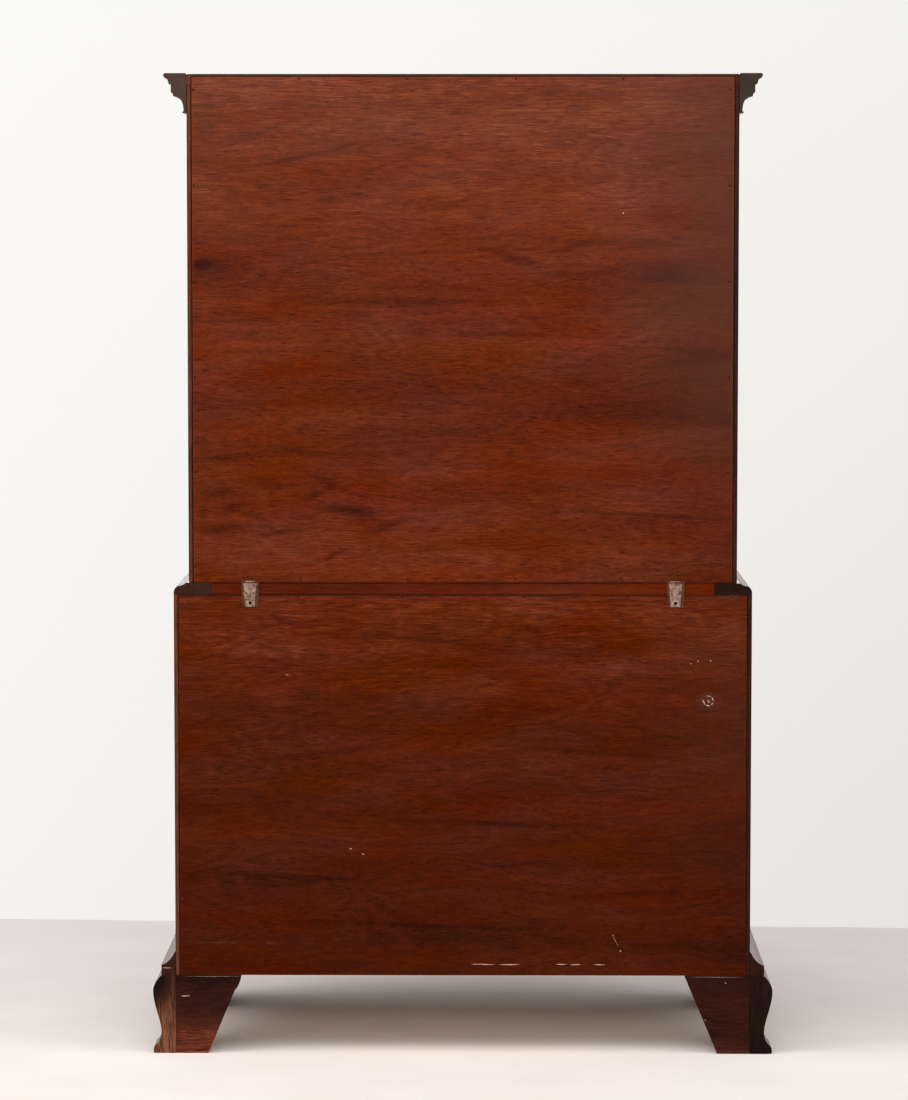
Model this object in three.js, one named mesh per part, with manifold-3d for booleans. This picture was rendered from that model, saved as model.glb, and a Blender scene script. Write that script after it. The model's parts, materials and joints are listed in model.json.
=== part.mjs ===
// A Georgian style chest on chest in mahogany: an upper case of five drawers that stands on a wider
// lower case of three, with ogee bracket feet, a plywood back let into each case, and two steel clips
// behind that hold the cases together.
// Millimetres, +Z up. The front faces -Y, and left and right are those of someone who faces it.
// The origin is on the floor, at the centre of the overall width and depth.
import * as THREE from "three";
import { mergeVertices } from "three/addons/utils/BufferGeometryUtils.js";
import Module from "manifold-3d";

const wasm = await Module();
wasm.setup();

// Overall sizes
const totalHeight = 1805;
const lowerWidth = 1062;
const lowerDepth = 500;
const lowerSideHeight = 707;
const setBack = 28; // of the upper case from the lower one, at the front and at each side
const footHeight = 146;
const footBelly = 42; // how far the feet stand out from the lower case

// Boards
const sideThickness = 19;
const shelfThickness = 18;
const topThickness = 20;
const plyThickness = 5;
const rebateLip = 8; // what the rebate for the back leaves of a side's edge
const topLip = 5; // what it leaves of the top board's edge
const panelPlay = 1.2; // between the back panel and each side of its rebate
const dadoDepth = 6;
const jointGap = 0.3; // glue line, or the air between touching pieces
const overrun = 10; // how far a cutter passes the wood

// Dustboards: a frame with a thin panel
const railDepth = 60;
const runnerWidth = 45;
const centreRunnerWidth = 90;
const dustPanelThickness = 6;
const friezeThickness = 22;
const friezeShow = 10; // the frieze rail's edge seen below the cornice
const nailRailDepth = 25;
const nailRailHeight = 20;

// Mouldings
const corniceHeight = 72.5;
const corniceProjection = 42;
const corniceRise = 1.5; // above the top board
const waistHeight = 22;
const waistWidth = 69;
const baseHeight = 44;
const baseProjection = 26;

// Feet
const footLength = 140;
const blockWidth = 45; // glue blocks inside the feet
const blockLift = 4;
const bracketTopWidth = 121;
const bracketBottomWidth = 60;
const bracketThickness = 18;

// Clips
const clipProud = 3.5;
const clipPlate = 1.2;
const clipTopWidth = 33;
const clipBottomWidth = 29;
const clipHeight = 49;
const clipOverlap = 3.7; // over the upper case
const clipInset = 140.5; // from the outside of the lower case to a clip's middle
const clipHoleRadius = 2.2;
const clipHoleRise = 8;
const clipScrewRadius = 2.4;
const clipScrewRise = 26;
const clipScrewSpacing = 9;
const tongueTopWidth = 24.5;
const tongueBottomWidth = 17.5;
const tongueThickness = 1.4;
const tongueLift = 1.2;

// Drawers
const dividerThickness = 18;
const drawerClearance = 1.5; // round the front
const seatGap = 0.3; // the air under a drawer side on its runner
const sideClearance = 6; // over a drawer's sides
const frontThickness = 20;
const drawerSide = 10;
const drawerBackDrop = 8; // of the drawer back below the sides
const lapThickness = 6; // of the front, before the dovetails
const tailPitch = 52;
const bottomThickness = 6;
const bottomRise = 8;
const bottomGroove = 6;
const beadWidth = 3;
const beadProud = 2;
const drawerRearSpace = 5;

// Pulls
const pullSpacing = 76;
const pullRise = 12; // of the posts over the middle of the drawer front
const postRadius = 4.6;
const postReach = 21;
const postAxis = 16; // of the bail, in front of the drawer
const postHoleRadius = 3.3;
const rodRadius = 2.3;
const pinProud = 1;
const neckClearance = 1; // between a post and the bail's neck
const bailDrop = 38;

// Heights of the drawer rows in each case, from the top row down
const upperRowShares = [0.211, 0.243, 0.264, 0.282];
const lowerRowShares = [0.317, 0.333, 0.35];
const pullPlaceShare = 0.29; // of a long drawer's width, from its middle
const tailTipShare = 0.36; // half of a dovetail's width over the pitch
const tailRootShare = 0.27;

// Outlines, as shares of their projection and height. A row of one point is a straight line to it,
// and a row of two or three is a curve: its control points, then its end.
const corniceShares = [
  [[0, 0]],
  [[0.16, 0]],
  [[0.21, 0.03], [0.12, 0.05]],
  [[0.12, 0.27], [0.24, 0.41], [0.56, 0.42]],
  [[0.58, 0.5], [0.67, 0.52]],
  [[0.67, 0.71]],
  [[0.74, 0.72]],
  [[0.79, 0.76], [0.8, 0.83]],
  [[0.95, 0.89]],
  [[1.05, 0.97], [0.93, 1]],
  [[0, 1]],
];
const waistShares = [
  [[0, 0]],
  [[1, 0]],
  [[1, 0.1]],
  [[1, 0.6], [0.87, 0.745]],
  [[0.75, 0.77], [0.68, 1]],
  [[0, 1]],
];
const baseShares = [
  [[0, 0]],
  [[1, 0]],
  [[1, 0.44]],
  [[0.42, 0.52], [0.04, 1]],
  [[0, 1]],
];
const footFaceShares = [
  [[0, 0]],
  [[0.96, 0]],
  [[1.02, 0.04], [0.95, 0.09]],
  [[0.76, 0.14], [0.64, 0.19], [0.64, 0.28]],
  [[0.64, 0.42], [1, 0.62], [1, 0.8]],
  [[1, 0.88], [0.8, 0.95], [0.64, 1]],
  [[0, 1]],
];
const footScrollShares = [
  [[1.2, -0.2]],
  [[1.2, 0.9]],
  [[0.93, 0.9]],
  [[0.9, 0.84]],
  [[0.82, 0.84]],
  [[0.62, 0.8], [0.66, 0.5]],
  [[0.66, 0.2], [0.5, 0.12]],
  [[0.45, 0.06], [0.45, -0.2]],
];
const bailNeckShares = [
  [1.24, 0.32],
  [1.04, 0.62],
  [0.78, 0.85],
  [0.42, 0.96],
];

// Facets
const mouldingSegments = 4;
const rodSegments = 3; // half of the rod's sides
const roundSegments = 8;
const bailSteps = 40;

// Places that follow from the sizes
const lowerHalf = lowerWidth / 2;
const upperHalf = lowerHalf - setBack;
const backFace = (lowerDepth + footBelly - clipProud) / 2;
const lowerFront = backFace - lowerDepth;
const upperFront = lowerFront + setBack;
const waistBottom = footHeight + lowerSideHeight;
const upperBottom = waistBottom + waistHeight;
const topBoardTop = totalHeight - corniceRise;
const topBoardBottom = topBoardTop - topThickness;
const corniceBottom = totalHeight - corniceHeight;
const backInside = backFace - plyThickness - jointGap;

const xAxis = new THREE.Vector3(1, 0, 0);
const yAxis = new THREE.Vector3(0, 1, 0);
const zAxis = new THREE.Vector3(0, 0, 1);

// Finishes
function finish(color, roughness, metalness) {
  return new THREE.MeshStandardMaterial({ color, roughness, metalness });
}

function polishedMahogany() {
  return finish("#5a2412", 0.35, 0);
}

function mahoganyPly() {
  return finish("#662711", 0.45, 0);
}

function lowerPly() {
  return finish("#521b09", 0.45, 0);
}

function stainedEndGrain() {
  return finish("#3c241a", 0.55, 0);
}

function drawerWood() {
  return finish("#b48a5c", 0.7, 0);
}

function agedBrass() {
  return finish("#a9823f", 0.35, 1);
}

function nickelSteel() {
  return finish("#8e8279", 0.4, 1);
}

// A closed three.js geometry as a solid that can be joined and cut.
function solidOf(geometry) {
  geometry.deleteAttribute("normal");
  geometry.deleteAttribute("uv");
  const merged = mergeVertices(geometry);
  return new wasm.Manifold(
    new wasm.Mesh({
      numProp: 3,
      vertProperties: merged.attributes.position.array,
      triVerts: new Uint32Array(merged.index.array),
    }),
  );
}

function joined(solids) {
  return solids.reduce((sum, solid) => sum.add(solid));
}

function without(solid, cutters) {
  return cutters.reduce((rest, cutter) => rest.subtract(cutter), solid);
}

function addPiece(group, name, solid, material) {
  const { vertProperties, triVerts } = solid.getMesh();
  const geometry = new THREE.BufferGeometry();
  geometry.setAttribute("position", new THREE.BufferAttribute(vertProperties, 3));
  geometry.setIndex(new THREE.BufferAttribute(triVerts, 1));
  geometry.computeVertexNormals();
  const mesh = new THREE.Mesh(geometry, material);
  mesh.name = name;
  group.add(mesh);
  return mesh;
}

// A piece for the right, and its mirror image on the left.
function addPair(group, name, solid, makeMaterial) {
  addPiece(group, `${name}_right`, solid, makeMaterial());
  addPiece(group, `${name}_left`, solid, makeMaterial()).scale.x = -1;
}

// A board from its ranges along x, y and z.
function board([x0, x1], [y0, y1], [z0, z1]) {
  const box = new THREE.BoxGeometry(x1 - x0, y1 - y0, z1 - z0);
  return solidOf(box.translate((x0 + x1) / 2, (y0 + y1) / 2, (z0 + z1) / 2));
}

function shapeOf(points) {
  return new THREE.Shape(points.map(([x, y]) => new THREE.Vector2(x, y)));
}

// An outline from a table of shares, times its projection and height.
function outline(shares, projection, height) {
  const path = new THREE.Shape();
  const sized = shares.map((row) => row.flatMap(([p, h]) => [p * projection, h * height]));
  path.moveTo(...sized[0]);
  for (const row of sized.slice(1)) {
    if (row.length === 2) path.lineTo(...row);
    else if (row.length === 4) path.quadraticCurveTo(...row);
    else path.bezierCurveTo(...row);
  }
  return path;
}

function extruded(shape, depth) {
  return new THREE.ExtrudeGeometry(shape, {
    depth,
    bevelEnabled: false,
    curveSegments: mouldingSegments,
  });
}

// An outline drawn in y and z, carried along x.
function alongX(shape, [x0, x1]) {
  const turn = new THREE.Matrix4().makeBasis(yAxis, zAxis, xAxis);
  return solidOf(extruded(shape, x1 - x0).applyMatrix4(turn).translate(x0, 0, 0));
}

// An outline drawn in x and z, carried along y.
function alongY(shape, [y0, y1]) {
  const turn = new THREE.Matrix4().makeBasis(xAxis, zAxis, yAxis.clone().negate());
  return solidOf(extruded(shape, y1 - y0).applyMatrix4(turn).translate(0, y1, 0));
}

// An outline of projection and height, carried past stations. A station has a place, the directions
// in x and y of its projection, and so a square end or a mitre.
function carried(shape, stations) {
  const last = stations.length - 1;
  const bar = new THREE.ExtrudeGeometry(shape, {
    depth: last,
    steps: last,
    bevelEnabled: false,
    curveSegments: mouldingSegments,
  });
  const points = bar.attributes.position;
  for (let i = 0; i < points.count; i++) {
    const [x, y, outX, outY] = stations[Math.round(points.getZ(i))];
    const projection = points.getX(i);
    points.setXYZ(i, x + outX * projection, y + outY * projection, points.getY(i));
  }
  return solidOf(bar);
}

// A rod along x. Its facets can be turned about it, so that they don't end on another rod's edges.
function rodAlongX(radius, [x0, x1], y, z, turn = 0) {
  const rod = new THREE.CylinderGeometry(radius, radius, x1 - x0, roundSegments).rotateY(turn);
  return solidOf(rod.rotateZ(Math.PI / 2).translate((x0 + x1) / 2, y, z));
}

function rodAlongY(radius, x, [y0, y1], z) {
  const rod = new THREE.CylinderGeometry(radius, radius, y1 - y0, roundSegments);
  return solidOf(rod.translate(x, (y0 + y1) / 2, z));
}

// Each case, with what its boards and drawers are fitted to
const lowerCase = {
  name: "lower",
  half: lowerHalf,
  front: lowerFront,
  sideBottom: footHeight,
  sideTop: waistBottom - jointGap,
  floorTop: footHeight + baseHeight,
  ceiling: waistBottom,
  rowShares: lowerRowShares,
};
const upperCase = {
  name: "upper",
  half: upperHalf,
  front: upperFront,
  sideBottom: upperBottom + jointGap,
  sideTop: topBoardBottom - jointGap,
  floorTop: upperBottom + jointGap + shelfThickness,
  ceiling: corniceBottom - friezeShow,
  rowShares: upperRowShares,
};

// The rows of drawer openings between a case's floor and its ceiling, from the top down.
function rowsOf({ floorTop, ceiling, rowShares }) {
  const shelves = rowShares.length - 1;
  const clearHeight = ceiling - floorTop - shelves * shelfThickness;
  const total = rowShares.reduce((sum, share) => sum + share);
  let top = ceiling;
  return rowShares.map((share) => {
    const bottom = top - (clearHeight * share) / total;
    const row = { bottom, top };
    top = bottom - shelfThickness;
    return row;
  });
}

// The undersides of the boards that are let into a case's sides, from the top down.
function shelvesOf(chestCase) {
  const shelves = rowsOf(chestCase).map((row) => row.bottom - shelfThickness);
  return chestCase === upperCase ? [chestCase.ceiling, ...shelves] : shelves;
}

function innerHalf(chestCase) {
  return chestCase.half - sideThickness;
}

// The right side, with its rebate for the back and a dado for each board.
function sideBoard(chestCase) {
  const { half, front, sideBottom, sideTop } = chestCase;
  const inside = half - sideThickness - overrun;
  const rebate = board(
    [inside, half - rebateLip],
    [backInside, backFace + overrun],
    [sideBottom - overrun, sideTop + overrun],
  );
  const dadoes = shelvesOf(chestCase).map((z) =>
    board(
      [inside, innerHalf(chestCase) + dadoDepth],
      [front - overrun, backFace + overrun],
      [z - jointGap, z + shelfThickness + jointGap],
    ),
  );
  const plank = board([half - sideThickness, half], [front, backFace], [sideBottom, sideTop]);
  return without(plank, [rebate, ...dadoes]);
}

function plainShelf(chestCase, z) {
  const reach = innerHalf(chestCase) + dadoDepth - jointGap;
  return board([-reach, reach], [chestCase.front, backInside - jointGap], [z, z + shelfThickness]);
}

// A frame with a thin panel in each of its fields: hollowed above and below the panel.
function dustboard(chestCase, z, fields) {
  const inner = innerHalf(chestCase) - runnerWidth;
  const stile = centreRunnerWidth / 2;
  const spans = fields === 1 ? [[-inner, inner]] : [[-inner, -stile], [stile, inner]];
  const depth = [chestCase.front + railDepth, backInside - runnerWidth];
  const panelBottom = z + (shelfThickness - dustPanelThickness) / 2;
  const hollows = spans.flatMap((span) => [
    board(span, depth, [z - overrun, panelBottom]),
    board(span, depth, [panelBottom + dustPanelThickness, z + shelfThickness + overrun]),
  ]);
  return without(plainShelf(chestCase, z), hollows);
}

function friezeFrame() {
  const reach = innerHalf(upperCase) - jointGap;
  const z = upperCase.ceiling;
  const rail = board(
    [-reach, reach],
    [upperFront, upperFront + friezeThickness],
    [z, topBoardBottom - jointGap],
  );
  return joined([dustboard(upperCase, z, 2), rail]);
}

// The partition between the two short drawers.
function drawerDivider() {
  const { bottom, top } = rowsOf(upperCase)[0];
  const half = dividerThickness / 2;
  return board(
    [-half, half],
    [upperFront, backInside - jointGap],
    [bottom + jointGap, top - jointGap],
  );
}

function topBoard() {
  const plank = board([-upperHalf, upperHalf], [upperFront, backFace], [topBoardBottom, topBoardTop]);
  const inset = upperHalf - rebateLip;
  const rebate = board(
    [-inset, inset],
    [backInside, backFace + overrun],
    [topBoardBottom - overrun, topBoardTop - topLip],
  );
  return without(plank, [rebate]);
}

// The lower case's top, between the arms of the waist moulding, with the rail glued beneath that the
// back is pinned to.
function lowerTop() {
  const reach = lowerHalf - waistWidth - jointGap;
  const railReach = innerHalf(lowerCase) - jointGap;
  const plank = board(
    [-reach, reach],
    [lowerFront + waistWidth + jointGap, backFace],
    [waistBottom, upperBottom],
  );
  const rail = board(
    [-railReach, railReach],
    [backInside - jointGap - nailRailDepth, backInside - jointGap],
    [waistBottom - nailRailHeight, waistBottom],
  );
  return joined([plank, rail]);
}

function backPanel(chestCase, bottom, top) {
  const reach = chestCase.half - rebateLip - panelPlay;
  return board([-reach, reach], [backFace - plyThickness, backFace], [bottom, top]);
}

// A moulding round the right side, the front and the left side of a case. Its inner edge stands at
// this half width and front.
function mouldingRound(shape, half, front) {
  return carried(shape, [
    [half, backFace, 1, 0],
    [half, front, 1, -1],
    [-half, front, -1, -1],
    [-half, backFace, -1, 0],
  ]);
}

// The cornice, mitred at the front corners into three pieces.
function addCornice(group) {
  const shape = outline(corniceShares, corniceProjection, corniceHeight);
  const half = upperHalf + jointGap;
  const front = upperFront - jointGap;
  const mitre = jointGap / 2;
  const side = carried(shape, [
    [half, backFace, 1, 0],
    [half, front + mitre, 1, -1],
  ]);
  const face = carried(shape, [
    [half - mitre, front, 1, -1],
    [mitre - half, front, -1, -1],
  ]);
  addPiece(group, "cornice_front", face, polishedMahogany()).position.z = corniceBottom;
  addPair(group, "cornice", side, stainedEndGrain);
  for (const mesh of group.children.slice(-2)) mesh.position.z = corniceBottom;
}

function addWaistMoulding(group) {
  const shape = outline(waistShares, waistWidth, waistHeight - jointGap);
  const solid = mouldingRound(shape, lowerHalf - waistWidth, lowerFront + waistWidth);
  addPiece(group, "waist_moulding", solid, stainedEndGrain()).position.z = waistBottom;
}

function addBaseMoulding(group) {
  const shape = outline(baseShares, baseProjection, baseHeight);
  const solid = mouldingRound(shape, lowerHalf + jointGap, lowerFront - jointGap);
  addPiece(group, "base_moulding", solid, polishedMahogany()).position.z = footHeight;
}

// The scroll that is cut out of a foot's face beyond its toe. It is drawn from the foot's corner.
function scrollAlong(corner, direction) {
  const shape = outline(footScrollShares, direction * footLength, footHeight);
  const moved = shape.getPoints(mouldingSegments).map(({ x, y }) => [corner + x, y]);
  return shapeOf(moved);
}

// A glue block that stands inside a foot and reaches the case's bottom board.
function glueBlock(y0, y1) {
  const inside = lowerHalf - blockWidth;
  const bottomBoard = lowerCase.floorTop - shelfThickness;
  return joined([
    board([inside, lowerHalf], [y0, y1], [blockLift, footHeight - jointGap]),
    board([inside, innerHalf(lowerCase) - jointGap], [y0, y1], [blockLift, bottomBoard - jointGap]),
  ]);
}

// The right front foot: two ogee faces, mitred, each with its scroll.
function frontFoot() {
  const shape = outline(footFaceShares, footBelly, footHeight - jointGap);
  const faces = carried(shape, [
    [lowerHalf, lowerFront + footLength, 1, 0],
    [lowerHalf, lowerFront, 1, -1],
    [lowerHalf - footLength, lowerFront, 0, -1],
  ]);
  const sideScroll = alongX(scrollAlong(lowerFront, 1), [lowerHalf, lowerHalf + footBelly + overrun]);
  const frontScroll = alongY(
    scrollAlong(lowerHalf, -1),
    [lowerFront - footBelly - overrun, lowerFront],
  );
  const block = glueBlock(lowerFront, lowerFront + blockWidth);
  return joined([without(faces, [sideScroll, frontScroll]), block]);
}

// The right rear foot: one ogee face, with its square end flush with the back.
function rearFoot() {
  const shape = outline(footFaceShares, footBelly, footHeight - jointGap);
  const face = carried(shape, [
    [lowerHalf, backFace, 1, 0],
    [lowerHalf, backFace - footLength, 1, 0],
  ]);
  const scroll = alongX(scrollAlong(backFace, -1), [lowerHalf, lowerHalf + footBelly + overrun]);
  const blockEnd = backFace - bracketThickness - jointGap;
  return joined([without(face, [scroll]), glueBlock(blockEnd - blockWidth, blockEnd)]);
}

// The flat board beside the right rear foot.
function rearBracket() {
  const outer = lowerHalf - jointGap;
  const top = footHeight - jointGap;
  const shape = shapeOf([
    [outer, 0],
    [outer, top],
    [lowerHalf - bracketTopWidth, top],
    [lowerHalf - bracketBottomWidth, 0],
  ]);
  return alongY(shape, [backFace - bracketThickness, backFace]);
}

// A plate that tapers downwards, standing on this height.
function taperedPlate(topWidth, bottomWidth, [z0, z1], ys) {
  const shape = shapeOf([
    [bottomWidth / 2, z0],
    [topWidth / 2, z1],
    [-topWidth / 2, z1],
    [-bottomWidth / 2, z0],
  ]);
  return alongY(shape, ys);
}

// A clip: a plate, a raised tongue with a rolled lip over the upper case, a hole and two screws.
function clip() {
  const top = clipOverlap;
  const bottom = top - clipHeight;
  const rollRadius = (clipProud - jointGap) / 2;
  const plateFace = jointGap + clipPlate;
  const tongueFace = plateFace + tongueThickness;
  const plate = taperedPlate(clipTopWidth, clipBottomWidth, [bottom, top], [jointGap, plateFace]);
  const tongue = taperedPlate(
    tongueTopWidth,
    tongueBottomWidth,
    [bottom + tongueLift, top - rollRadius],
    [plateFace, tongueFace],
  );
  const halfLip = tongueTopWidth / 2;
  const lip = rodAlongX(rollRadius, [-halfLip, halfLip], jointGap + rollRadius, top - rollRadius);
  const screws = [-clipScrewSpacing / 2, clipScrewSpacing / 2].map((x) =>
    rodAlongY(clipScrewRadius, x, [plateFace, clipProud], bottom + clipScrewRise),
  );
  const hole = rodAlongY(clipHoleRadius, 0, [-overrun, overrun], bottom + clipHoleRise);
  return without(joined([plate, tongue, lip, ...screws]), [hole]);
}

function addClips(group) {
  const solid = clip();
  for (const [side, x] of [["right", lowerHalf - clipInset], ["left", clipInset - lowerHalf]]) {
    const mesh = addPiece(group, `clip_${side}`, solid, nickelSteel());
    mesh.position.set(x, backFace, upperBottom);
  }
}

// A drawer is drawn from the middle of its opening's front, at the height of the runners.
function drawerSizes(width, height, depth) {
  const sideBottom = seatGap;
  const sideTop = height - sideClearance;
  return {
    half: width / 2 - drawerClearance,
    frontBottom: drawerClearance,
    frontTop: height - drawerClearance,
    sideBottom,
    sideTop,
    tails: Math.max(2, Math.round((sideTop - sideBottom) / tailPitch)),
    bottomZ: sideBottom + bottomRise,
    rear: depth - drawerRearSpace,
  };
}

// The dovetails of a drawer side, each from its root at the back of the front to its tip, in y and z,
// larger by the play that their sockets have.
function tailsOf({ sideBottom, sideTop, tails }, play) {
  const pitch = (sideTop - sideBottom) / tails;
  const tip = lapThickness + jointGap - play;
  const half = [tailRootShare * pitch + play, tailTipShare * pitch + play];
  return Array.from({ length: tails }, (_, i) => {
    const middle = sideBottom + (i + 0.5) * pitch;
    return [
      [frontThickness + overrun, middle - half[0]],
      [frontThickness, middle - half[0]],
      [tip, middle - half[1]],
      [tip, middle + half[1]],
      [frontThickness, middle + half[0]],
      [frontThickness + overrun, middle + half[0]],
    ];
  });
}

// The front: a board with a cock bead round it, sockets for the dovetails, a groove for the bottom
// and the posts of its pulls.
function drawerFront(sizes, pulls) {
  const { half, frontBottom, frontTop, bottomZ } = sizes;
  const plank = board([-half, half], [0, frontThickness], [frontBottom, frontTop]);
  const rim = shapeOf([[-half, frontBottom], [half, frontBottom], [half, frontTop], [-half, frontTop]]);
  const innerX = half - beadWidth;
  const innerBottom = frontBottom + beadWidth;
  const innerTop = frontTop - beadWidth;
  rim.holes.push(
    shapeOf([[-innerX, innerBottom], [-innerX, innerTop], [innerX, innerTop], [innerX, innerBottom]]),
  );
  const socket = half - drawerSide - jointGap;
  const sockets = tailsOf(sizes, jointGap).flatMap((tail) => [
    alongX(shapeOf(tail), [socket, half + overrun]),
    alongX(shapeOf(tail), [-half - overrun, -socket]),
  ]);
  const grooveReach = half - drawerSide + jointGap;
  const groove = board(
    [-grooveReach, grooveReach],
    [frontThickness - bottomGroove, frontThickness + overrun],
    [bottomZ - jointGap, bottomZ + bottomThickness + jointGap],
  );
  const wood = without(joined([plank, alongY(rim, [-beadProud, 0])]), [...sockets, groove]);
  const z = pullHeight(sizes);
  const halfSpacing = pullSpacing / 2;
  const posts = pulls.flatMap((x) => [pullPost(x - halfSpacing, z), pullPost(x + halfSpacing, z)]);
  return joined([wood, ...posts]);
}

function pullHeight({ frontBottom, frontTop }) {
  return (frontBottom + frontTop) / 2 + pullRise;
}

function pullPost(x, z) {
  const stem = rodAlongY(postRadius, x, [-postReach, 0], z);
  const reach = postRadius + overrun;
  const halfFacet = Math.PI / roundSegments;
  return without(stem, [rodAlongX(postHoleRadius, [x - reach, x + reach], -postAxis, z, halfFacet)]);
}

// The rest of the drawer: two sides with their dovetails, the back and the bottom, glued.
function drawerBox(sizes) {
  const { half, sideBottom, sideTop, bottomZ, rear } = sizes;
  const start = frontThickness + jointGap;
  const sidePlank = [[start, rear], [sideBottom, sideTop]];
  const sides = [[half - drawerSide, half], [-half, drawerSide - half]].map((span) => {
    const tails = tailsOf(sizes, 0).map((tail) => alongX(shapeOf(tail), span));
    return joined([board(span, ...sidePlank), ...tails]);
  });
  const back = board(
    [-half, half],
    [rear - drawerSide, rear],
    [bottomZ, sideTop - drawerBackDrop],
  );
  const bottomReach = half - drawerSide;
  const bottom = board(
    [-bottomReach, bottomReach],
    [frontThickness - bottomGroove + jointGap, rear],
    [bottomZ, bottomZ + bottomThickness],
  );
  return joined([...sides, back, bottom]);
}

// A swan-neck bail. Its ends turn inwards through the posts, and it hangs straight down.
function bail() {
  const halfSpacing = pullSpacing / 2;
  const shoulder = halfSpacing + postRadius + neckClearance + rodRadius;
  const arm = [
    [halfSpacing - postRadius - pinProud, 0],
    [halfSpacing + postRadius / 2, 0],
    [shoulder, -rodRadius],
    ...bailNeckShares.map(([x, drop]) => [x * halfSpacing, -drop * bailDrop]),
  ];
  const rightArm = arm.map(([x, z]) => new THREE.Vector3(x, 0, z));
  const leftArm = arm.map(([x, z]) => new THREE.Vector3(-x, 0, z)).reverse();
  const route = [...rightArm, new THREE.Vector3(0, 0, -bailDrop), ...leftArm];
  const section = new THREE.Shape().absarc(0, 0, rodRadius, 0, 2 * Math.PI);
  const rod = new THREE.ExtrudeGeometry(section, {
    steps: bailSteps,
    extrudePath: new THREE.CatmullRomCurve3(route),
    curveSegments: rodSegments,
  });
  return solidOf(rod);
}

// A drawer with its bails, standing on the runners of its opening.
function addDrawer(group, name, width, height, depth, pulls) {
  const sizes = drawerSizes(width, height, depth);
  addPiece(group, `${name}_front`, drawerFront(sizes, pulls), polishedMahogany());
  addPiece(group, `${name}_box`, drawerBox(sizes), drawerWood());
  const sideNames = pulls.length === 1 ? [""] : ["_left", "_right"];
  pulls.forEach((x, i) => {
    const mesh = addPiece(group, `${name}_bail${sideNames[i]}`, bail(), agedBrass());
    mesh.position.set(x, -postAxis, pullHeight(sizes));
  });
}

function addDrawers(chest, chestCase) {
  const width = 2 * innerHalf(chestCase);
  const depth = backInside - jointGap - nailRailDepth - chestCase.front;
  rowsOf(chestCase).forEach(({ bottom, top }, row) => {
    const name = `${chestCase.name}_drawer_${row + 1}`;
    const place = (x) => {
      const group = new THREE.Group();
      group.position.set(x, chestCase.front, bottom);
      chest.add(group);
      return group;
    };
    if (chestCase === upperCase && row === 0) {
      const shortWidth = (width - dividerThickness) / 2;
      const middle = (shortWidth + dividerThickness) / 2;
      addDrawer(place(-middle), `${name}_left`, shortWidth, top - bottom, depth, [0]);
      addDrawer(place(middle), `${name}_right`, shortWidth, top - bottom, depth, [0]);
    } else {
      const pull = pullPlaceShare * width;
      addDrawer(place(0), name, width, top - bottom, depth, [-pull, pull]);
    }
  });
}

function addLowerCase(chest) {
  const group = new THREE.Group();
  const shelves = shelvesOf(lowerCase);
  const floorBoard = shelves.pop();
  addPair(group, "lower_side", sideBoard(lowerCase), polishedMahogany);
  addPiece(group, "lower_top", lowerTop(), polishedMahogany());
  addPiece(group, "lower_bottom", plainShelf(lowerCase, floorBoard), drawerWood());
  shelves.forEach((z, i) => {
    addPiece(group, `lower_dustboard_${i + 1}`, dustboard(lowerCase, z, 1), polishedMahogany());
  });
  const panel = backPanel(lowerCase, footHeight + jointGap, waistBottom - jointGap);
  addPiece(group, "lower_back_panel", panel, lowerPly());
  addWaistMoulding(group);
  addBaseMoulding(group);
  addPair(group, "front_foot", frontFoot(), polishedMahogany);
  addPair(group, "rear_foot", rearFoot(), stainedEndGrain);
  addPair(group, "rear_bracket", rearBracket(), polishedMahogany);
  addClips(group);
  chest.add(group);
}

function addUpperCase(chest) {
  const group = new THREE.Group();
  const shelves = shelvesOf(upperCase).slice(1);
  const floorBoard = shelves.pop();
  addPair(group, "upper_side", sideBoard(upperCase), polishedMahogany);
  addPiece(group, "upper_top", topBoard(), polishedMahogany());
  addPiece(group, "upper_bottom", plainShelf(upperCase, floorBoard), drawerWood());
  addPiece(group, "upper_frieze_frame", friezeFrame(), polishedMahogany());
  shelves.forEach((z, i) => {
    const fields = i === 0 ? 2 : 1;
    addPiece(group, `upper_dustboard_${i + 1}`, dustboard(upperCase, z, fields), polishedMahogany());
  });
  addPiece(group, "upper_drawer_divider", drawerDivider(), polishedMahogany());
  const panelTop = topBoardTop - topLip - jointGap;
  const panel = backPanel(upperCase, upperCase.sideBottom, panelTop);
  addPiece(group, "upper_back_panel", panel, mahoganyPly());
  addCornice(group);
  chest.add(group);
}

const chest = new THREE.Group();
addLowerCase(chest);
addUpperCase(chest);
addDrawers(chest, lowerCase);
addDrawers(chest, upperCase);

export default chest;
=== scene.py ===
# %% [markdown]
# # A mahogany chest on chest
#
# The chest is an upper case of drawers that stands on a wider lower one. The camera stands behind
# it, so the plywood backs fill the picture, and the polished front with its brass pulls is turned
# away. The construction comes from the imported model, which holds every board at its real size. This
# lesson dresses it: thin, worked or turned pieces are made again as finer surfaces, and every piece
# gets a finish that is worked out from the real material.

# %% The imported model
import json
import math

import bmesh
import bpy
import numpy as np
from mathutils import Matrix, Vector


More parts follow.
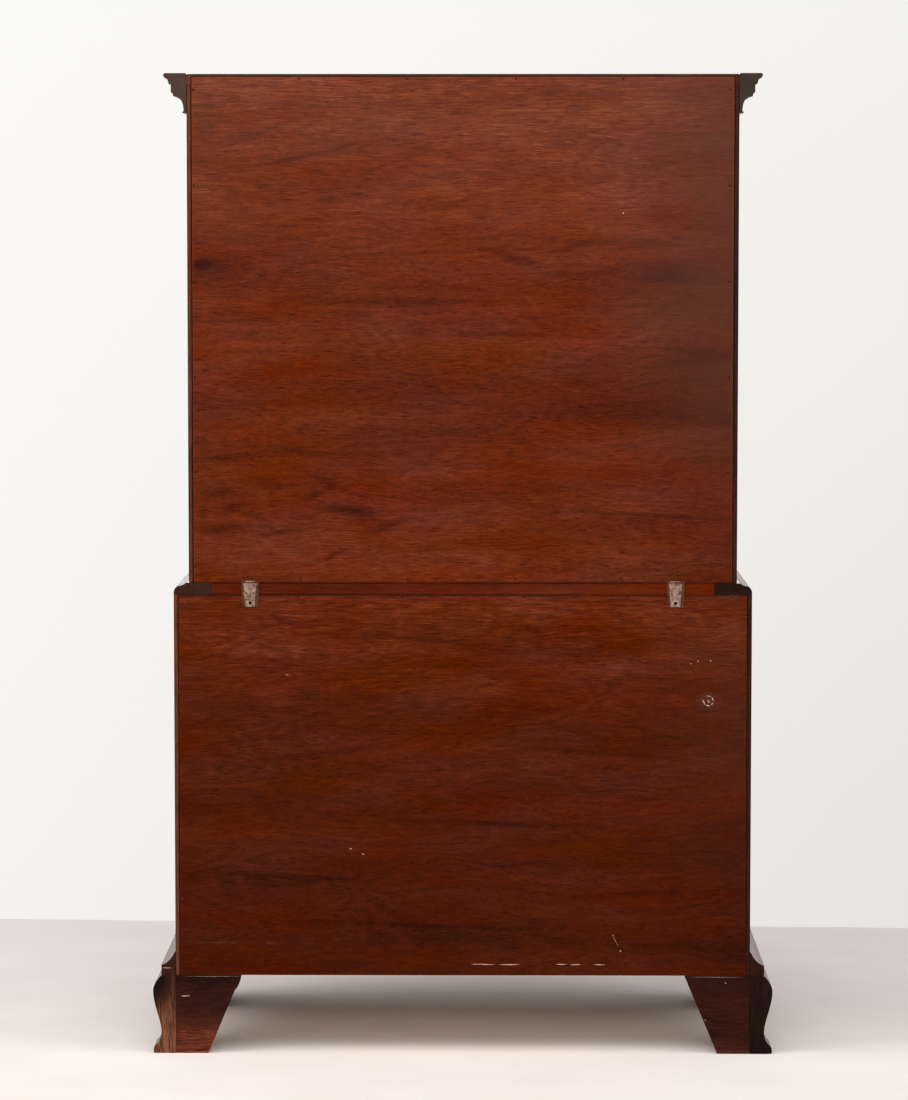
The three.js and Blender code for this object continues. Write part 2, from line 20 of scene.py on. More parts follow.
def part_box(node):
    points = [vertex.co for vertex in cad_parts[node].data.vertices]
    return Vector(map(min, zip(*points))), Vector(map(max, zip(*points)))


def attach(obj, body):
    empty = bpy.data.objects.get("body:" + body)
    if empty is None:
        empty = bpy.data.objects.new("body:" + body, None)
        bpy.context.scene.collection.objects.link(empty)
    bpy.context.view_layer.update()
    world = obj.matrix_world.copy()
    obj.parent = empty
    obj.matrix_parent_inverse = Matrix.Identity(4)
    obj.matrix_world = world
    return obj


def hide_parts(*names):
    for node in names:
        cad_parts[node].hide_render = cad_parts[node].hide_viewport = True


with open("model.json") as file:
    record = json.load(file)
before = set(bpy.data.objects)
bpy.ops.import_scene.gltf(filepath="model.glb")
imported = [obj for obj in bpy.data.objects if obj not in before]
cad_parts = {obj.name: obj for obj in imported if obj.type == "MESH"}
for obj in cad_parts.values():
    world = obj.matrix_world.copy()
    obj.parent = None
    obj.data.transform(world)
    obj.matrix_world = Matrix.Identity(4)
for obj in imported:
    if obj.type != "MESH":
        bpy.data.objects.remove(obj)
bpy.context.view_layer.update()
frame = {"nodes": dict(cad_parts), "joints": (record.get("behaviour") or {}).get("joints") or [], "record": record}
nodes = frame["nodes"]
bodies = frame["record"]["behaviour"]["bodies"]
body_of = {node: body for body, members in bodies.items() for node in members}
MM = 0.001

# %% [markdown]
# ## The camera
#
# A camera can be placed by eye, but here the edges of the two cases gave enough straight lines to
# work it out. It stands 7.4 m behind the backs and 1.5 m above the floor, and looks down by four and
# a half degrees. The long lens keeps upright edges almost parallel.

# %% The camera behind the chest
CAMERA_PLACE = (-0.0462, 7.6628, 1.5178)
TILT, YAW, ROLL = (math.radians(angle) for angle in (4.503, -0.482, 0.006))
PICTURE_HEIGHT = 36.0
LENS = 132.34


def camera_axes(tilt, yaw, roll):
    """The camera's right, up and backward directions. It starts level and looking along -Y, turns
    about Z by yaw, dips by tilt, and then rolls about its own line of sight."""
    ahead = np.array([-math.sin(yaw), -math.cos(yaw), 0])
    right = np.array([-math.cos(yaw), math.sin(yaw), 0])
    above = np.array([0, 0, 1])
    sight = math.cos(tilt) * ahead - math.sin(tilt) * above
    lifted = math.cos(tilt) * above + math.sin(tilt) * ahead
    rolled_right = math.cos(roll) * right + math.sin(roll) * lifted
    rolled_up = math.cos(roll) * lifted - math.sin(roll) * right
    return rolled_right, rolled_up, -sight


scene = bpy.context.scene
camera = bpy.data.objects.new("camera", bpy.data.cameras.new("camera"))
camera.data.sensor_fit = "VERTICAL"
camera.data.sensor_height = PICTURE_HEIGHT
camera.data.lens = LENS
placed = np.eye(4)
placed[:3, :3] = np.column_stack(camera_axes(TILT, YAW, ROLL))
placed[:3, 3] = CAMERA_PLACE
camera.matrix_world = Matrix(placed)
scene.collection.objects.link(camera)
scene.camera = camera
scene.view_settings.view_transform = "Standard"
print("camera", CAMERA_PLACE, "lens", LENS)

# %% [markdown]
# ## Surfaces from arrays
#
# Boards could be cubes, and mouldings could be drawn by hand, but a formula is easier to change and
# to check. Each new piece is a grid of points worked out as whole arrays. A grid is turned into a
# closed skin by joining its neighbours, and a piece may hold several closed skins.

# %% Grids and closed skins


def quads(rows, columns, ring_rows=False, ring_columns=False):
    """The faces of a grid whose point (i, j) is number i * columns + j. Each joins (i, j),
    (i, j + 1), (i + 1, j + 1) and (i + 1, j), counted round where the grid closes on itself."""
    i, j = np.meshgrid(
        np.arange(rows if ring_rows else rows - 1),
        np.arange(columns if ring_columns else columns - 1),
        indexing="ij",
    )
    below, right = (i + 1) % rows, (j + 1) % columns
    corners = [i * columns + j, i * columns + right, below * columns + right, below * columns + j]
    return np.stack(corners, axis=-1).reshape(-1, 4)


def skin(points, *groups):
    """A skin: its points, the corners of its faces in one row, the corners that each face has, and
    its material's number. A group is an array of faces with as many corners each, and a number."""
    corners = np.concatenate([np.ravel(faces) for faces, _ in groups])
    sizes = np.concatenate([np.full(len(faces), faces.shape[1]) for faces, _ in groups])
    paints = np.concatenate([np.full(len(faces), paint) for faces, paint in groups])
    return np.reshape(points, (-1, 3)), corners, sizes, paints


def end_faces(rows, columns):
    """The two faces that close a row of rings, over its first ring and over its last."""
    return np.array([np.arange(columns), (rows - 1) * columns + np.arange(columns)])


def lofted(rings, paint=0):
    """The closed skin of rings that follow each other: point (i, j) is number j of ring i."""
    rows, columns = rings.shape[:2]
    walls = quads(rows, columns, ring_columns=True)
    return skin(rings, (walls, paint), (end_faces(rows, columns), paint))


def swept(profile, stations, paints, cap_paint):
    """A closed outline carried past stations: P(i, j) = place(i) + out(i) * profile(j).out, at the
    height place(i).z + profile(j).up. A mitre has an out that is longer than one. The first and the
    last outline close the ends, and each stretch between stations has its own material."""
    places, outs = (np.array(values, float)[:, None, :] for values in zip(*stations))
    rows, columns = len(stations), len(profile)
    points = places + outs * profile[None, :, :1] + np.array([0, 0, 1]) * profile[None, :, 1:]
    stretches = quads(rows, columns, ring_columns=True).reshape(rows - 1, columns, 4)
    return skin(points, *zip(stretches, paints), (end_faces(rows, columns), cap_paint))


def slab(outer, inner):
    """The closed skin of the solid between two grids of one size: both grids, and a band of faces
    that joins their edges."""
    rows, columns = outer.shape[:2]
    count = rows * columns
    number = np.arange(count).reshape(rows, columns)
    rim = np.concatenate([number[0, :-1], number[:-1, -1], number[-1, :0:-1], number[:0:-1, 0]])
    after = np.roll(rim, -1)
    band = np.stack([rim, after, after + count, rim + count], axis=-1)
    faces = quads(rows, columns)
    return skin(np.stack([outer, inner]), (np.concatenate([faces, faces + count, band]), 0))


print("a grid of 3 by 4 points has", len(quads(3, 4)), "faces")

# %% Turned and straight shapes


def circle(sides):
    """The cosines and the sines of angles spread evenly all the way round."""
    angles = np.linspace(0, 2 * np.pi, sides, endpoint=False)
    return np.cos(angles), np.sin(angles)


def turned(profile, centre, sides):
    """A shape turned about an axis along Y through centre: P(j, a) is centre plus radius(j) times
    (cos a, 0, sin a), at profile(j).along in front of it, towards -Y. Flat discs close the ends."""
    cosine, sine = circle(sides)
    radius, along = profile[:, :1], profile[:, 1:]
    rings = np.stack([radius * cosine, -along + 0 * cosine, radius * sine], axis=-1)
    return lofted(rings + centre)


def extruded(section, start, step, paint=0):
    """A prism: a closed flat outline at start, and again a step further."""
    ring = np.asarray(section, float) + start
    return lofted(np.stack([ring, ring + step]), paint)


def block(low, high, paint=0):
    """A plain board between two corners."""
    low, high = np.array(low, float), np.array(high, float)
    square = np.array([[0, 0, 0], [1, 0, 0], [1, 1, 0], [0, 1, 0]]) * (high - low)
    return extruded(square, low, np.array([0, 0, 1]) * (high - low), paint)


def mirrored(surface):
    """The same skin on the other side of the chest, with x the other way round."""
    points, *faces = surface
    return points * np.array([-1, 1, 1]), *faces


print("a block has", len(block((0, 0, 0), (1, 1, 1))[2]), "faces")

# %% From skins to pieces


def soft_mesh(name, surfaces, materials, crease):
    """One mesh of all skins, with its faces outward and its edges sharp where they fold by more than
    crease degrees."""
    starts = np.cumsum([0] + [len(points) for points, *_ in surfaces])
    points = np.concatenate([points for points, *_ in surfaces])
    corners = np.concatenate([s[1] + start for s, start in zip(surfaces, starts)])
    sizes = np.concatenate([s[2] for s in surfaces])
    paints = np.concatenate([s[3] for s in surfaces])
    mesh = bpy.data.meshes.new(name)
    mesh.vertices.add(len(points))
    mesh.vertices.foreach_set("co", points.astype(np.float32).ravel())
    mesh.loops.add(len(corners))
    mesh.loops.foreach_set("vertex_index", corners.astype(np.int32))
    mesh.polygons.add(len(sizes))
    mesh.polygons.foreach_set("loop_start", (np.cumsum(sizes) - sizes).astype(np.int32))
    mesh.polygons.foreach_set("material_index", paints.astype(np.int32))
    for material in materials:
        mesh.materials.append(material)
    mesh.update(calc_edges=True)
    finish_mesh(mesh, crease)
    return mesh


def finish_mesh(mesh, crease):
    """Turns the faces outward, and shades them smooth up to the crease angle."""
    shape = bmesh.new()
    shape.from_mesh(mesh)
    bmesh.ops.recalc_face_normals(shape, faces=shape.faces)
    shape.to_mesh(mesh)
    shape.free()
    mesh.shade_smooth()
    mesh.set_sharp_from_angle(angle=math.radians(crease))


def ease(thing, width, segments=2):
    """Takes the sharpness off the edges, as sandpaper does."""
    bevel = thing.modifiers.new("eased", "BEVEL")
    bevel.width = width
    bevel.segments = segments
    bevel.limit_method = "ANGLE"
    bevel.angle_limit = math.radians(40)
    bevel.harden_normals = True


def set_up(thing, node, replaces=True):
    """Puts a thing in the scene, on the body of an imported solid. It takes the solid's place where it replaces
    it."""
    scene.collection.objects.link(thing)
    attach(thing, body_of[node])
    if replaces:
        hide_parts(node)


def piece(name, node, surfaces, materials, replaces=True, eased=0, crease=35):
    """A new piece from closed skins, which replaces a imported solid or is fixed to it."""
    thing = bpy.data.objects.new(name, soft_mesh(name, surfaces, materials, crease))
    if eased:
        ease(thing, eased)
    set_up(thing, node, replaces)


# %% [markdown]
# ## Colour and nodes
#
# Colours are written as the eye knows them, in sRGB, and one function turns them to the linear
# values that light is worked out with. One more function adds a node. With these two, a material is
# a short list of steps that can be read from top to bottom.

# %% Colours and one node at a time


def linear(hex_colour):
    """An sRGB hex colour as linear light: v / 12.92 up to 0.04045, and ((v + 0.055) / 1.055) ^ 2.4
    above it."""
    channels = [int(hex_colour[i : i + 2], 16) / 255 for i in (1, 3, 5)]
    return tuple(v / 12.92 if v <= 0.04045 else ((v + 0.055) / 1.055) ** 2.4 for v in channels) + (1,)


def add(tree, kind, inputs=(), stops=(), **settings):
    """Adds a node and gives back its outputs. Each input is a value or another node's output, in the
    node's own order or by name or number, and stops are the places and colours of a ramp."""
    node = tree.nodes.new(kind)
    for name, value in settings.items():
        setattr(node, name, value)
    for name, value in inputs.items() if isinstance(inputs, dict) else enumerate(inputs):
        if isinstance(value, bpy.types.NodeSocket):
            tree.links.new(value, node.inputs[name])
        else:
            node.inputs[name].default_value = value
    elements = node.color_ramp.elements if stops else ()
    while len(elements) < len(stops):
        elements.new(1)
    for element, (place, colour) in zip(elements, stops):
        element.position = place
        element.color = linear(colour)
    return node.outputs


def new_material(name):
    """An empty material and its node tree."""
    material = bpy.data.materials.new(name)
    material.use_nodes = True
    material.node_tree.nodes.clear()
    return material, material.node_tree


def close_material(tree, shader_inputs):
    """Ends a tree with its shader."""
    shader = add(tree, "ShaderNodeBsdfPrincipled", shader_inputs)
    add(tree, "ShaderNodeOutputMaterial", {"Surface": shader[0]})


print("the middle grey #808080 is", round(linear("#808080")[0], 3), "in linear light")

# %% [markdown]
# ## Wood
#
# Mahogany has four things that show from a step away: soft bands of tone that run with the grain,
# loops where the saw or the peeling knife crossed the growth rings, fine streaks, and short dark
# pores. All are noise that is stretched along the grain. The loops are the contour lines of a slow
# noise, so they close round each other as they do in the tree. Stain never takes evenly, so a slower
# noise also shifts the colour a little. Sizes are in metres, so a scale is one over a length.

# %% Noise, spots and rubbed edges
GRAIN_TURNS = {"x": (0, 0, 0), "y": (0, 0, math.pi / 2), "z": (0, math.pi / 2, 0)}
PORE_DEPTH = 0.45
HAZE_AND_SHEEN = "#4e3027"
RIM_WIDTH = 2.2 * MM
FIBRE_RELIEF = 0.4 * MM
ANY_DEPTH = 1000.0
# How far the grain wanders, in metres, over lumps of this length, width and detail.
SWAY, SWAY_LUMPS = 0.03, (0.35, 0.12, 2.0)
# How long and how wide the lumps of each noise are, in metres, with its detail and roughness.
LUMPS = {
    "bands": (0.5, 0.05, 4.0, 0.6),
    "patches": (0.22, 0.07, 2.0),
    "streaks": (0.055, 0.0028, 3.0, 0.7),
    "fibres": (0.014, 0.0014, 2.0, 0.6),
    "slow": (0.42, 0.11, 2.0),
    "pits": (0.02, 0.0013, 1.0),
    "stain": (0.3, 0.09, 3.0),
}


def stretched_noise(tree, place, length, width, detail=3.0, roughness=0.55):
    """Noise whose lumps are this long with the grain and this wide across it, in metres."""
    scale = (1 / length, 1 / width, 1 / width)
    scaled = add(tree, "ShaderNodeMapping", {"Vector": place, "Scale": scale})[0]
    inputs = {"Vector": scaled, "Scale": 1.0, "Detail": detail, "Roughness": roughness}
    return add(tree, "ShaderNodeTexNoise", inputs)[0]


def weighed(tree, base, parts):
    """base plus each part's distance from its middle, 0.5, times its weight."""
    for value, weight in parts:
        aside = add(tree, "ShaderNodeMath", (value, 0.5), operation="SUBTRACT")[0]
        base = add(tree, "ShaderNodeMath", (aside, weight, base), operation="MULTIPLY_ADD")[0]
    return base


def spot(tree, place, centre, half_length, half_height, turn):
    """1 in the middle of an upright ellipse that faces Y, fading to 0 at its edge, at any depth.
    Sizes are in mm, and the ellipse is turned by an angle in degrees."""
    settings = {
        "Vector": place,
        "Location": (centre[0] * MM, 0, centre[1] * MM),
        "Rotation": (0, -math.radians(turn), 0),
        "Scale": (half_length * MM, ANY_DEPTH, half_height * MM),
    }
    inside = add(tree, "ShaderNodeMapping", settings, vector_type="TEXTURE")[0]
    reach = add(tree, "ShaderNodeVectorMath", (inside,), operation="LENGTH")["Value"]
    return add(tree, "ShaderNodeMapRange", (reach, 0.0, 1.0, 1.0, 0.0))[0]


def worn_rim(tree, place, colour, half_width, low, high, rim_colour, amount):
    """A paler line round a panel, where its edge is rubbed. It is amount strong at the nearest of
    the four edges and fades out over RIM_WIDTH."""
    across, _, upward = add(tree, "ShaderNodeSeparateXYZ", (place,))
    aside = add(tree, "ShaderNodeMath", (across,), operation="ABSOLUTE")[0]
    gap = add(tree, "ShaderNodeMath", (half_width, aside), operation="SUBTRACT")[0]
    for pair in ((upward, low), (high, upward)):
        other = add(tree, "ShaderNodeMath", pair, operation="SUBTRACT")[0]
        gap = add(tree, "ShaderNodeMath", (gap, other), operation="MINIMUM")[0]
    near = add(tree, "ShaderNodeMapRange", (gap, 0.0, RIM_WIDTH, amount, 0.0))[0]
    colours = {0: near, 6: colour, 7: linear(rim_colour)}
    return add(tree, "ShaderNodeMix", colours, data_type="RGBA")[2]


print(len(LUMPS), "noises in every wood")

# %% Wood by its grain


def wood(name, along, tones, figure, rough, gloss, marks=(), hazes_and_sheen=(), rings=16.0, rims=None, seed=0.0):
    """A finished wood. tones run from the darkest to the lightest, and figure gives the weights of
    bands, loops, streaks and fibres. rough is the roughness and gloss the shader's specular level.
    marks are spots, darker, or lighter where the weight is below 0, each a middle, two sizes, a turn and a weight;
    some are painted light and shade, such as lighter tops, shadow lines in gaps and lit and shaded ends.
    hazes_and_sheen are greyer spots: dull places in the polish, and painted sheen where the lights catch a top.
    rings is how close the loops lie, and seed moves the pattern."""
    material, tree = new_material(name)
    here = add(tree, "ShaderNodeTexCoord")["Object"]
    turned_axes = {"Vector": here, "Rotation": GRAIN_TURNS[along], "Location": (seed, seed, seed)}
    grain = add(tree, "ShaderNodeMapping", turned_axes)[0]
    wander = stretched_noise(tree, grain, *SWAY_LUMPS)
    sideways = add(tree, "ShaderNodeCombineXYZ", {1: wander, 2: wander})[0]
    swayed = (sideways, (0, SWAY, SWAY), grain)
    grain = add(tree, "ShaderNodeVectorMath", swayed, operation="MULTIPLY_ADD")[0]
    bands, patches, streaks, fibres, slow, pits, stain = (
        stretched_noise(tree, grain, *lumps) for lumps in LUMPS.values()
    )
    turns = add(tree, "ShaderNodeMath", (slow, rings * 2 * math.pi), operation="MULTIPLY")[0]
    wave = add(tree, "ShaderNodeMath", (turns,), operation="SINE")[0]
    wave = add(tree, "ShaderNodeMath", (wave, patches), operation="MULTIPLY")[0]
    loops = add(tree, "ShaderNodeMath", (wave, 0.5, 0.5), operation="MULTIPLY_ADD")[0]
    pores = add(tree, "ShaderNodeMapRange", (pits, 0.58, 0.72, 0.0, PORE_DEPTH))[0]
    tone = weighed(tree, 0.5, zip((bands, loops, streaks, fibres), figure))
    tone = add(tree, "ShaderNodeMath", (pores, -figure[3], tone), operation="MULTIPLY_ADD")[0]
    ragged = weighed(tree, 1.0, [(streaks, 4.0), (patches, 2.0)])
    ragged = add(tree, "ShaderNodeMath", (ragged, 0.0), operation="MAXIMUM")[0]
    for *shape, weight in marks:
        shade = (spot(tree, here, *shape), ragged)
        shade = add(tree, "ShaderNodeMath", shade, operation="MULTIPLY")[0]
        tone = add(tree, "ShaderNodeMath", (shade, -weight, tone), operation="MULTIPLY_ADD")[0]
    stops = list(zip(np.linspace(0, 1, len(tones)), tones))
    stained = {
        "Hue": weighed(tree, 0.5, [(stain, 0.016)]),
        "Saturation": weighed(tree, 1.0, [(patches, -0.2)]),
        "Color": add(tree, "ShaderNodeValToRGB", (tone,), stops)[0],
    }
    colour = add(tree, "ShaderNodeHueSaturation", stained)[0]
    # Each haze mixes in a grey: dull places in the polish, and painted sheen where the lights catch a top.
    for *shape, weight in hazes_and_sheen:
        dull = (spot(tree, here, *shape), weight)
        dull = add(tree, "ShaderNodeMath", dull, operation="MULTIPLY")[0]
        dull = (dull, weighed(tree, 1.0, [(stain, 1.5), (streaks, 0.8)]))
        dull = add(tree, "ShaderNodeMath", dull, operation="MULTIPLY")[0]
        colours = {0: dull, 6: colour, 7: linear(HAZE_AND_SHEEN)}
        colour = add(tree, "ShaderNodeMix", colours, data_type="RGBA")[2]
    if rims:
        colour = worn_rim(tree, here, colour, *rims)
    bump = {"Height": fibres, "Strength": 0.25, "Distance": FIBRE_RELIEF}
    surface = {
        "Base Color": colour,
        "Roughness": weighed(tree, rough, [(streaks, 0.15), (bands, 0.15)]),
        "Specular IOR Level": gloss,
        "Normal": add(tree, "ShaderNodeBump", bump)[0],
    }
    close_material(tree, surface)
    return material


print("the grain can run along", *GRAIN_TURNS)

# %% [markdown]
# ### Plywood, mahogany and oak
#
# The two backs are plywood: a thin sheet peeled off a turning log, stained to match the mahogany.
# The upper one is a warmer orange brown and the lower one darker and redder. Both have a low satin
# polish. The boards and mouldings are solid mahogany under many coats of shellac, so they are
# smoother and mirror the floor at a low angle. The drawers are lined with plain waxed oak.

# %% Marks of use, with painted light and shade
# Each mark's middle, x and z, its half length and half height in mm, its turn and its weight.
# The first upper haze, a greyer band across the top of the upper back, is a painted sheen of the lights above. The
# large ones at x -660 and x -640 grey the -x side of each back, and the small ones are dull spots in the polish.
UPPER_HAZES_AND_SHEEN = (
    ((0, 1850), 3000, 380, 0, 0.3), ((-660, 1520), 460, 700, 0, 0.9), ((-204, 1741), 36, 5, 0, 0.5),
)
LOWER_HAZES = (
    ((-640, 620), 330, 420, 0, 0.3), ((452, 207), 60, 2.5, 0, 0.5), ((-452, 657), 26, 22, 0, 0.7),
    ((-495, 849), 9, 9, 0, 0.7), ((357, 206), 14, 4, 10, 0.6),
)
# Upper back: the first spot, with a weight below 0, paints the top lighter, a painted light from above. The line
# at z 874 is a painted shadow along the sheet's bottom edge, in the gap above the lower case. The broad spots at z
# 900 and 1190 and at x -640 make the sheet a little lighter low down, darker across the middle and darker towards
# the -x end. The rest are dark streaks in the figure.
UPPER_MARKS_LIGHT_AND_SHADE = (
    ((0, 1810), 2500, 330, 0, -0.24), ((100, 900), 800, 150, 0, -0.06), ((0, 1190), 2000, 170, 0, 0.1),
    ((-640, 1300), 350, 900, 0, 0.26), ((0, 874.0), 3000, 4.5, 0, 1.1), ((474, 1458), 30, 14, 0, 0.35),
    ((455, 1452), 80, 30, -8, 0.25), ((300, 1652), 90, 6, -12, 0.4), ((222, 1670), 30, 9, -10, 0.3),
    ((395, 1690), 90, 16, -20, 0.2), ((470, 1700), 34, 80, 0, 0.15), ((430, 1105), 80, 9, -4, 0.3),
    ((320, 1120), 80, 10, 8, 0.22), ((362, 1062), 60, 14, 14, 0.28), ((440, 1040), 50, 12, 0, 0.25),
    ((425, 1012), 40, 14, -30, 0.28), ((245, 1060), 60, 12, 25, 0.3), ((275, 1036), 50, 10, -25, 0.3),
    ((215, 1010), 60, 10, 0, 0.3), ((185, 996), 40, 20, 0, 0.25), ((150, 975), 70, 11, -20, 0.3),
    ((395, 1000), 60, 10, 20, 0.22), ((478, 1003), 12, 14, 30, 0.35), ((440, 975), 60, 20, 0, 0.3),
    ((330, 968), 60, 8, -6, 0.2), ((240, 925), 34, 8, -25, 0.3), ((-330, 1000), 200, 6, 3, 0.2),
    ((-120, 1330), 260, 7, 2, 0.2), ((60, 1480), 220, 6, -2, 0.2), ((-250, 1500), 180, 12, 3, 0.25),
    ((-380, 1440), 120, 30, 0, 0.2), ((-200, 1490), 60, 9, -14, 0.3), ((-90, 1470), 70, 14, 16, 0.3),
    ((-440, 1290), 90, 60, 0, 0.2), ((-200, 1690), 160, 6, 4, 0.15), ((120, 1390), 300, 14, 0, 0.2),
    ((-350, 1180), 220, 30, 0, 0.12),
)
# Lower back: the first spot paints the top lighter, a painted light from above, and the second darkens the bottom,
# partly a darker finish and partly painted shade where the light falls off. The broad spot at x -640 darkens the
# -x end. The line at z 853.5 is a painted shadow along the sheet's top edge, in the gap under the rail. The rest
# are dark streaks in the figure.
LOWER_MARKS_LIGHT_AND_SHADE = (
    ((0, 870), 2500, 240, 0, -0.28), ((0, 140), 2500, 420, 0, 0.17), ((-640, 300), 300, 500, 0, 0.18),
    ((0, 853.5), 3000, 4.5, 0, 1.1), ((330, 800), 150, 8, -4, 0.2), ((60, 770), 180, 7, 5, 0.2),
    ((-300, 760), 150, 10, -8, 0.2), ((-260, 560), 220, 8, 4, 0.25), ((250, 560), 180, 9, -6, 0.2),
    ((330, 480), 140, 26, 0, 0.15), ((-60, 430), 240, 8, 2, 0.25), ((320, 330), 190, 8, 3, 0.25),
    ((-330, 300), 180, 9, -4, 0.25), ((80, 240), 260, 7, 2, 0.25),
)
print(len(UPPER_MARKS_LIGHT_AND_SHADE + LOWER_MARKS_LIGHT_AND_SHADE), "darker or lighter marks")

# %% Two plywoods
# Tones, figure, roughness and gloss, marks and hazes with painted light, shade and sheen among them, the rim's
# colour and strength, and the seed.
PLYWOOD = {
    "upper": (
        ("#2f0d05", "#461808", "#58210e", "#6b2c13", "#83401e"),
        (0.6, 0.16, 0.6, 0.8),
        (0.26, 0.025, UPPER_MARKS_LIGHT_AND_SHADE, UPPER_HAZES_AND_SHEEN),
        ("#7d4430", 0.4),
        0.0,
    ),
    "lower": (
        ("#260a03", "#391104", "#481806", "#58200a", "#6c2d12"),
        (0.5, 0.2, 0.6, 0.8),
        (0.3, 0.02, LOWER_MARKS_LIGHT_AND_SHADE, LOWER_HAZES),
        ("#64301d", 0.35),
        3.7,
    ),
}
plywood = {}
for case, (tones, figure, finish_and_painted_light, rim, seed) in PLYWOOD.items():
    low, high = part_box(f"{case}_back_panel")
    rims = (high[0], low[2], high[2], *rim)
    plywood[case] = wood(f"stained_plywood_{case}", "x", tones, figure, *finish_and_painted_light, rims=rims, seed=seed)
print("plywoods for the cases:", *plywood)

# %% Solid woods and a veneer
MAHOGANY_TONES = ("#240b04", "#3d160a", "#51200f", "#683016", "#80421f")
MAHOGANY_FIGURE = (0.9, 0.3, 0.6, 0.4)
mahogany = {
    along: wood(f"polished_mahogany_{along}", along, MAHOGANY_TONES, MAHOGANY_FIGURE, 0.25, 0.1)
    for along in "xyz"
}
FLAME_TONES = ("#300e05", "#4c1b0a", "#652c12", "#7f3f1c", "#98552a")
FLAME = (FLAME_TONES, (0.9, 0.5, 0.7, 0.5), 0.22, 0.12)
flame_mahogany = wood("flame_mahogany_veneer", "x", *FLAME, rings=7.0, seed=1.3)
BEAD_TONES = ("#1d0803", "#34120a", "#431a0d", "#552412", "#6a3119")
bead_mahogany = wood("dark_mahogany_bead", "x", BEAD_TONES, (0.6, 0.2, 0.5, 0.3), 0.25, 0.15)
OAK_TONES = ("#6f4d2b", "#94703f", "#ac8752", "#bf9b66", "#cfae7a")
oak = {
    along: wood(f"waxed_oak_{along}", along, OAK_TONES, (0.7, 0.3, 0.7, 0.5), 0.55, 0.1, rings=8.0)
    for along in "xy"
}
print("woods", len(bpy.data.materials))

# %% [markdown]
# ## The studio
#
# The chest stands about a metre in front of a white wall, on a pale floor that the wall meets in a
# faint line. Large soft lights hang above and beside the camera and at both sides, and the white room
# fills the shadows. The world shows the wall's tone to the camera and to reflections, and lights the
# shadows more weakly. The drawers face the wall, so a card lights them alone, and leaves the floor's
# shadow as it is.

# %% The white room
WALL_TONES = (("#e5e0dc", "#f4f0ed"), ("#f3f1ee", "#fbfaf8"))
# The tone changes with the view's direction, over these parts of its X and Z.
WALL_SPANS = ((0, -0.12, 0.12), (2, -0.2, 0.05))
FILL = 0.2
world = bpy.data.worlds.new("white_room")
scene.world = world
world.use_nodes = True
world.node_tree.nodes.clear()
tree = world.node_tree
view = add(tree, "ShaderNodeSeparateXYZ", (add(tree, "ShaderNodeTexCoord")["Generated"],))
leftness, height = (
    add(tree, "ShaderNodeMapRange", (view[axis], low, high))[0] for axis, low, high in WALL_SPANS
)
rows = [
    add(tree, "ShaderNodeMix", {0: leftness, 6: linear(right), 7: linear(left)}, data_type="RGBA")[2]
    for right, left in WALL_TONES
]
wall = add(tree, "ShaderNodeMix", {0: height, 6: rows[0], 7: rows[1]}, data_type="RGBA")[2]
rays = add(tree, "ShaderNodeLightPath")
seen = rays["Is Camera Ray"]
for ray in ("Is Glossy Ray", "Is Transmission Ray"):
    seen = add(tree, "ShaderNodeMath", (seen, rays[ray]), operation="MAXIMUM")[0]
strength = add(tree, "ShaderNodeMapRange", {0: seen, 3: FILL, 4: 1.0})[0]
background = add(tree, "ShaderNodeBackground", (wall, strength))[0]
add(tree, "ShaderNodeOutputWorld", (background,))
print("the shadows are filled with", FILL, "of the wall's light")

# %% Lights and floor
# Each light's place, target, width and height, all in metres, and its power in watts.
SOFTBOXES = {
    "softbox_above": ((0.7, 4.1, 4.2), (0.0, 0.4, 0.6), 6.0, 4.6, 120.0),
    "softbox_front": ((0.0, 5.6, 2.3), (0.0, 0.3, 1.6), 3.8, 0.8, 95.0),
    "softbox_left": ((4.2, 1.8, 4.0), (1.0, 0.4, 0.0), 3.0, 3.0, 150.0),
    "softbox_right": ((-4.2, 1.8, 4.0), (-1.0, 0.4, 0.0), 3.0, 3.0, 100.0),
    "ceiling": ((0.3, 1.9, 5.0), (0.2, 1.5, 0.0), 7.0, 4.0, 80.0),
    "front_card": ((0.6, -4.6, 2.95), (0.0, -0.2, 1.0), 3.4, 2.2, 140.0),
}
FLOOR_CORNERS = ((-8.0, -0.7479), (8.0, -1.5333), (8.0, 12.0), (-8.0, 12.0))
FLOOR_LUMPS = (0.3, 0.22, 4.0)
# Tones of the mottle near the camera and far from it, and where along y one becomes the other. The floor is
# painted darker near the camera, where the lamps are strong, and paler towards the wall, where they reach less:
# painted light that evens out the floor.
FLOOR_TONES_EVENING_THE_LIGHT = (((0.3, "#e6dcd5"), (0.7, "#ede4de")), ((0.3, "#f6eee8"), (0.7, "#fcf5f0")))
TONE_CHANGE = (-0.7, 0.7)


def softbox(name, place, target, width, height, power):
    """A flat soft light that looks from its place at a target."""
    lamp = bpy.data.lights.new(name, "AREA")
    lamp.shape = "RECTANGLE"
    lamp.size, lamp.size_y, lamp.energy = width, height, power
    thing = bpy.data.objects.new(name, lamp)
    sight = Vector(place) - Vector(target)
    thing.matrix_world = Matrix.Translation(place) @ sight.to_track_quat("Z", "Y").to_matrix().to_4x4()
    scene.collection.objects.link(thing)
    return thing


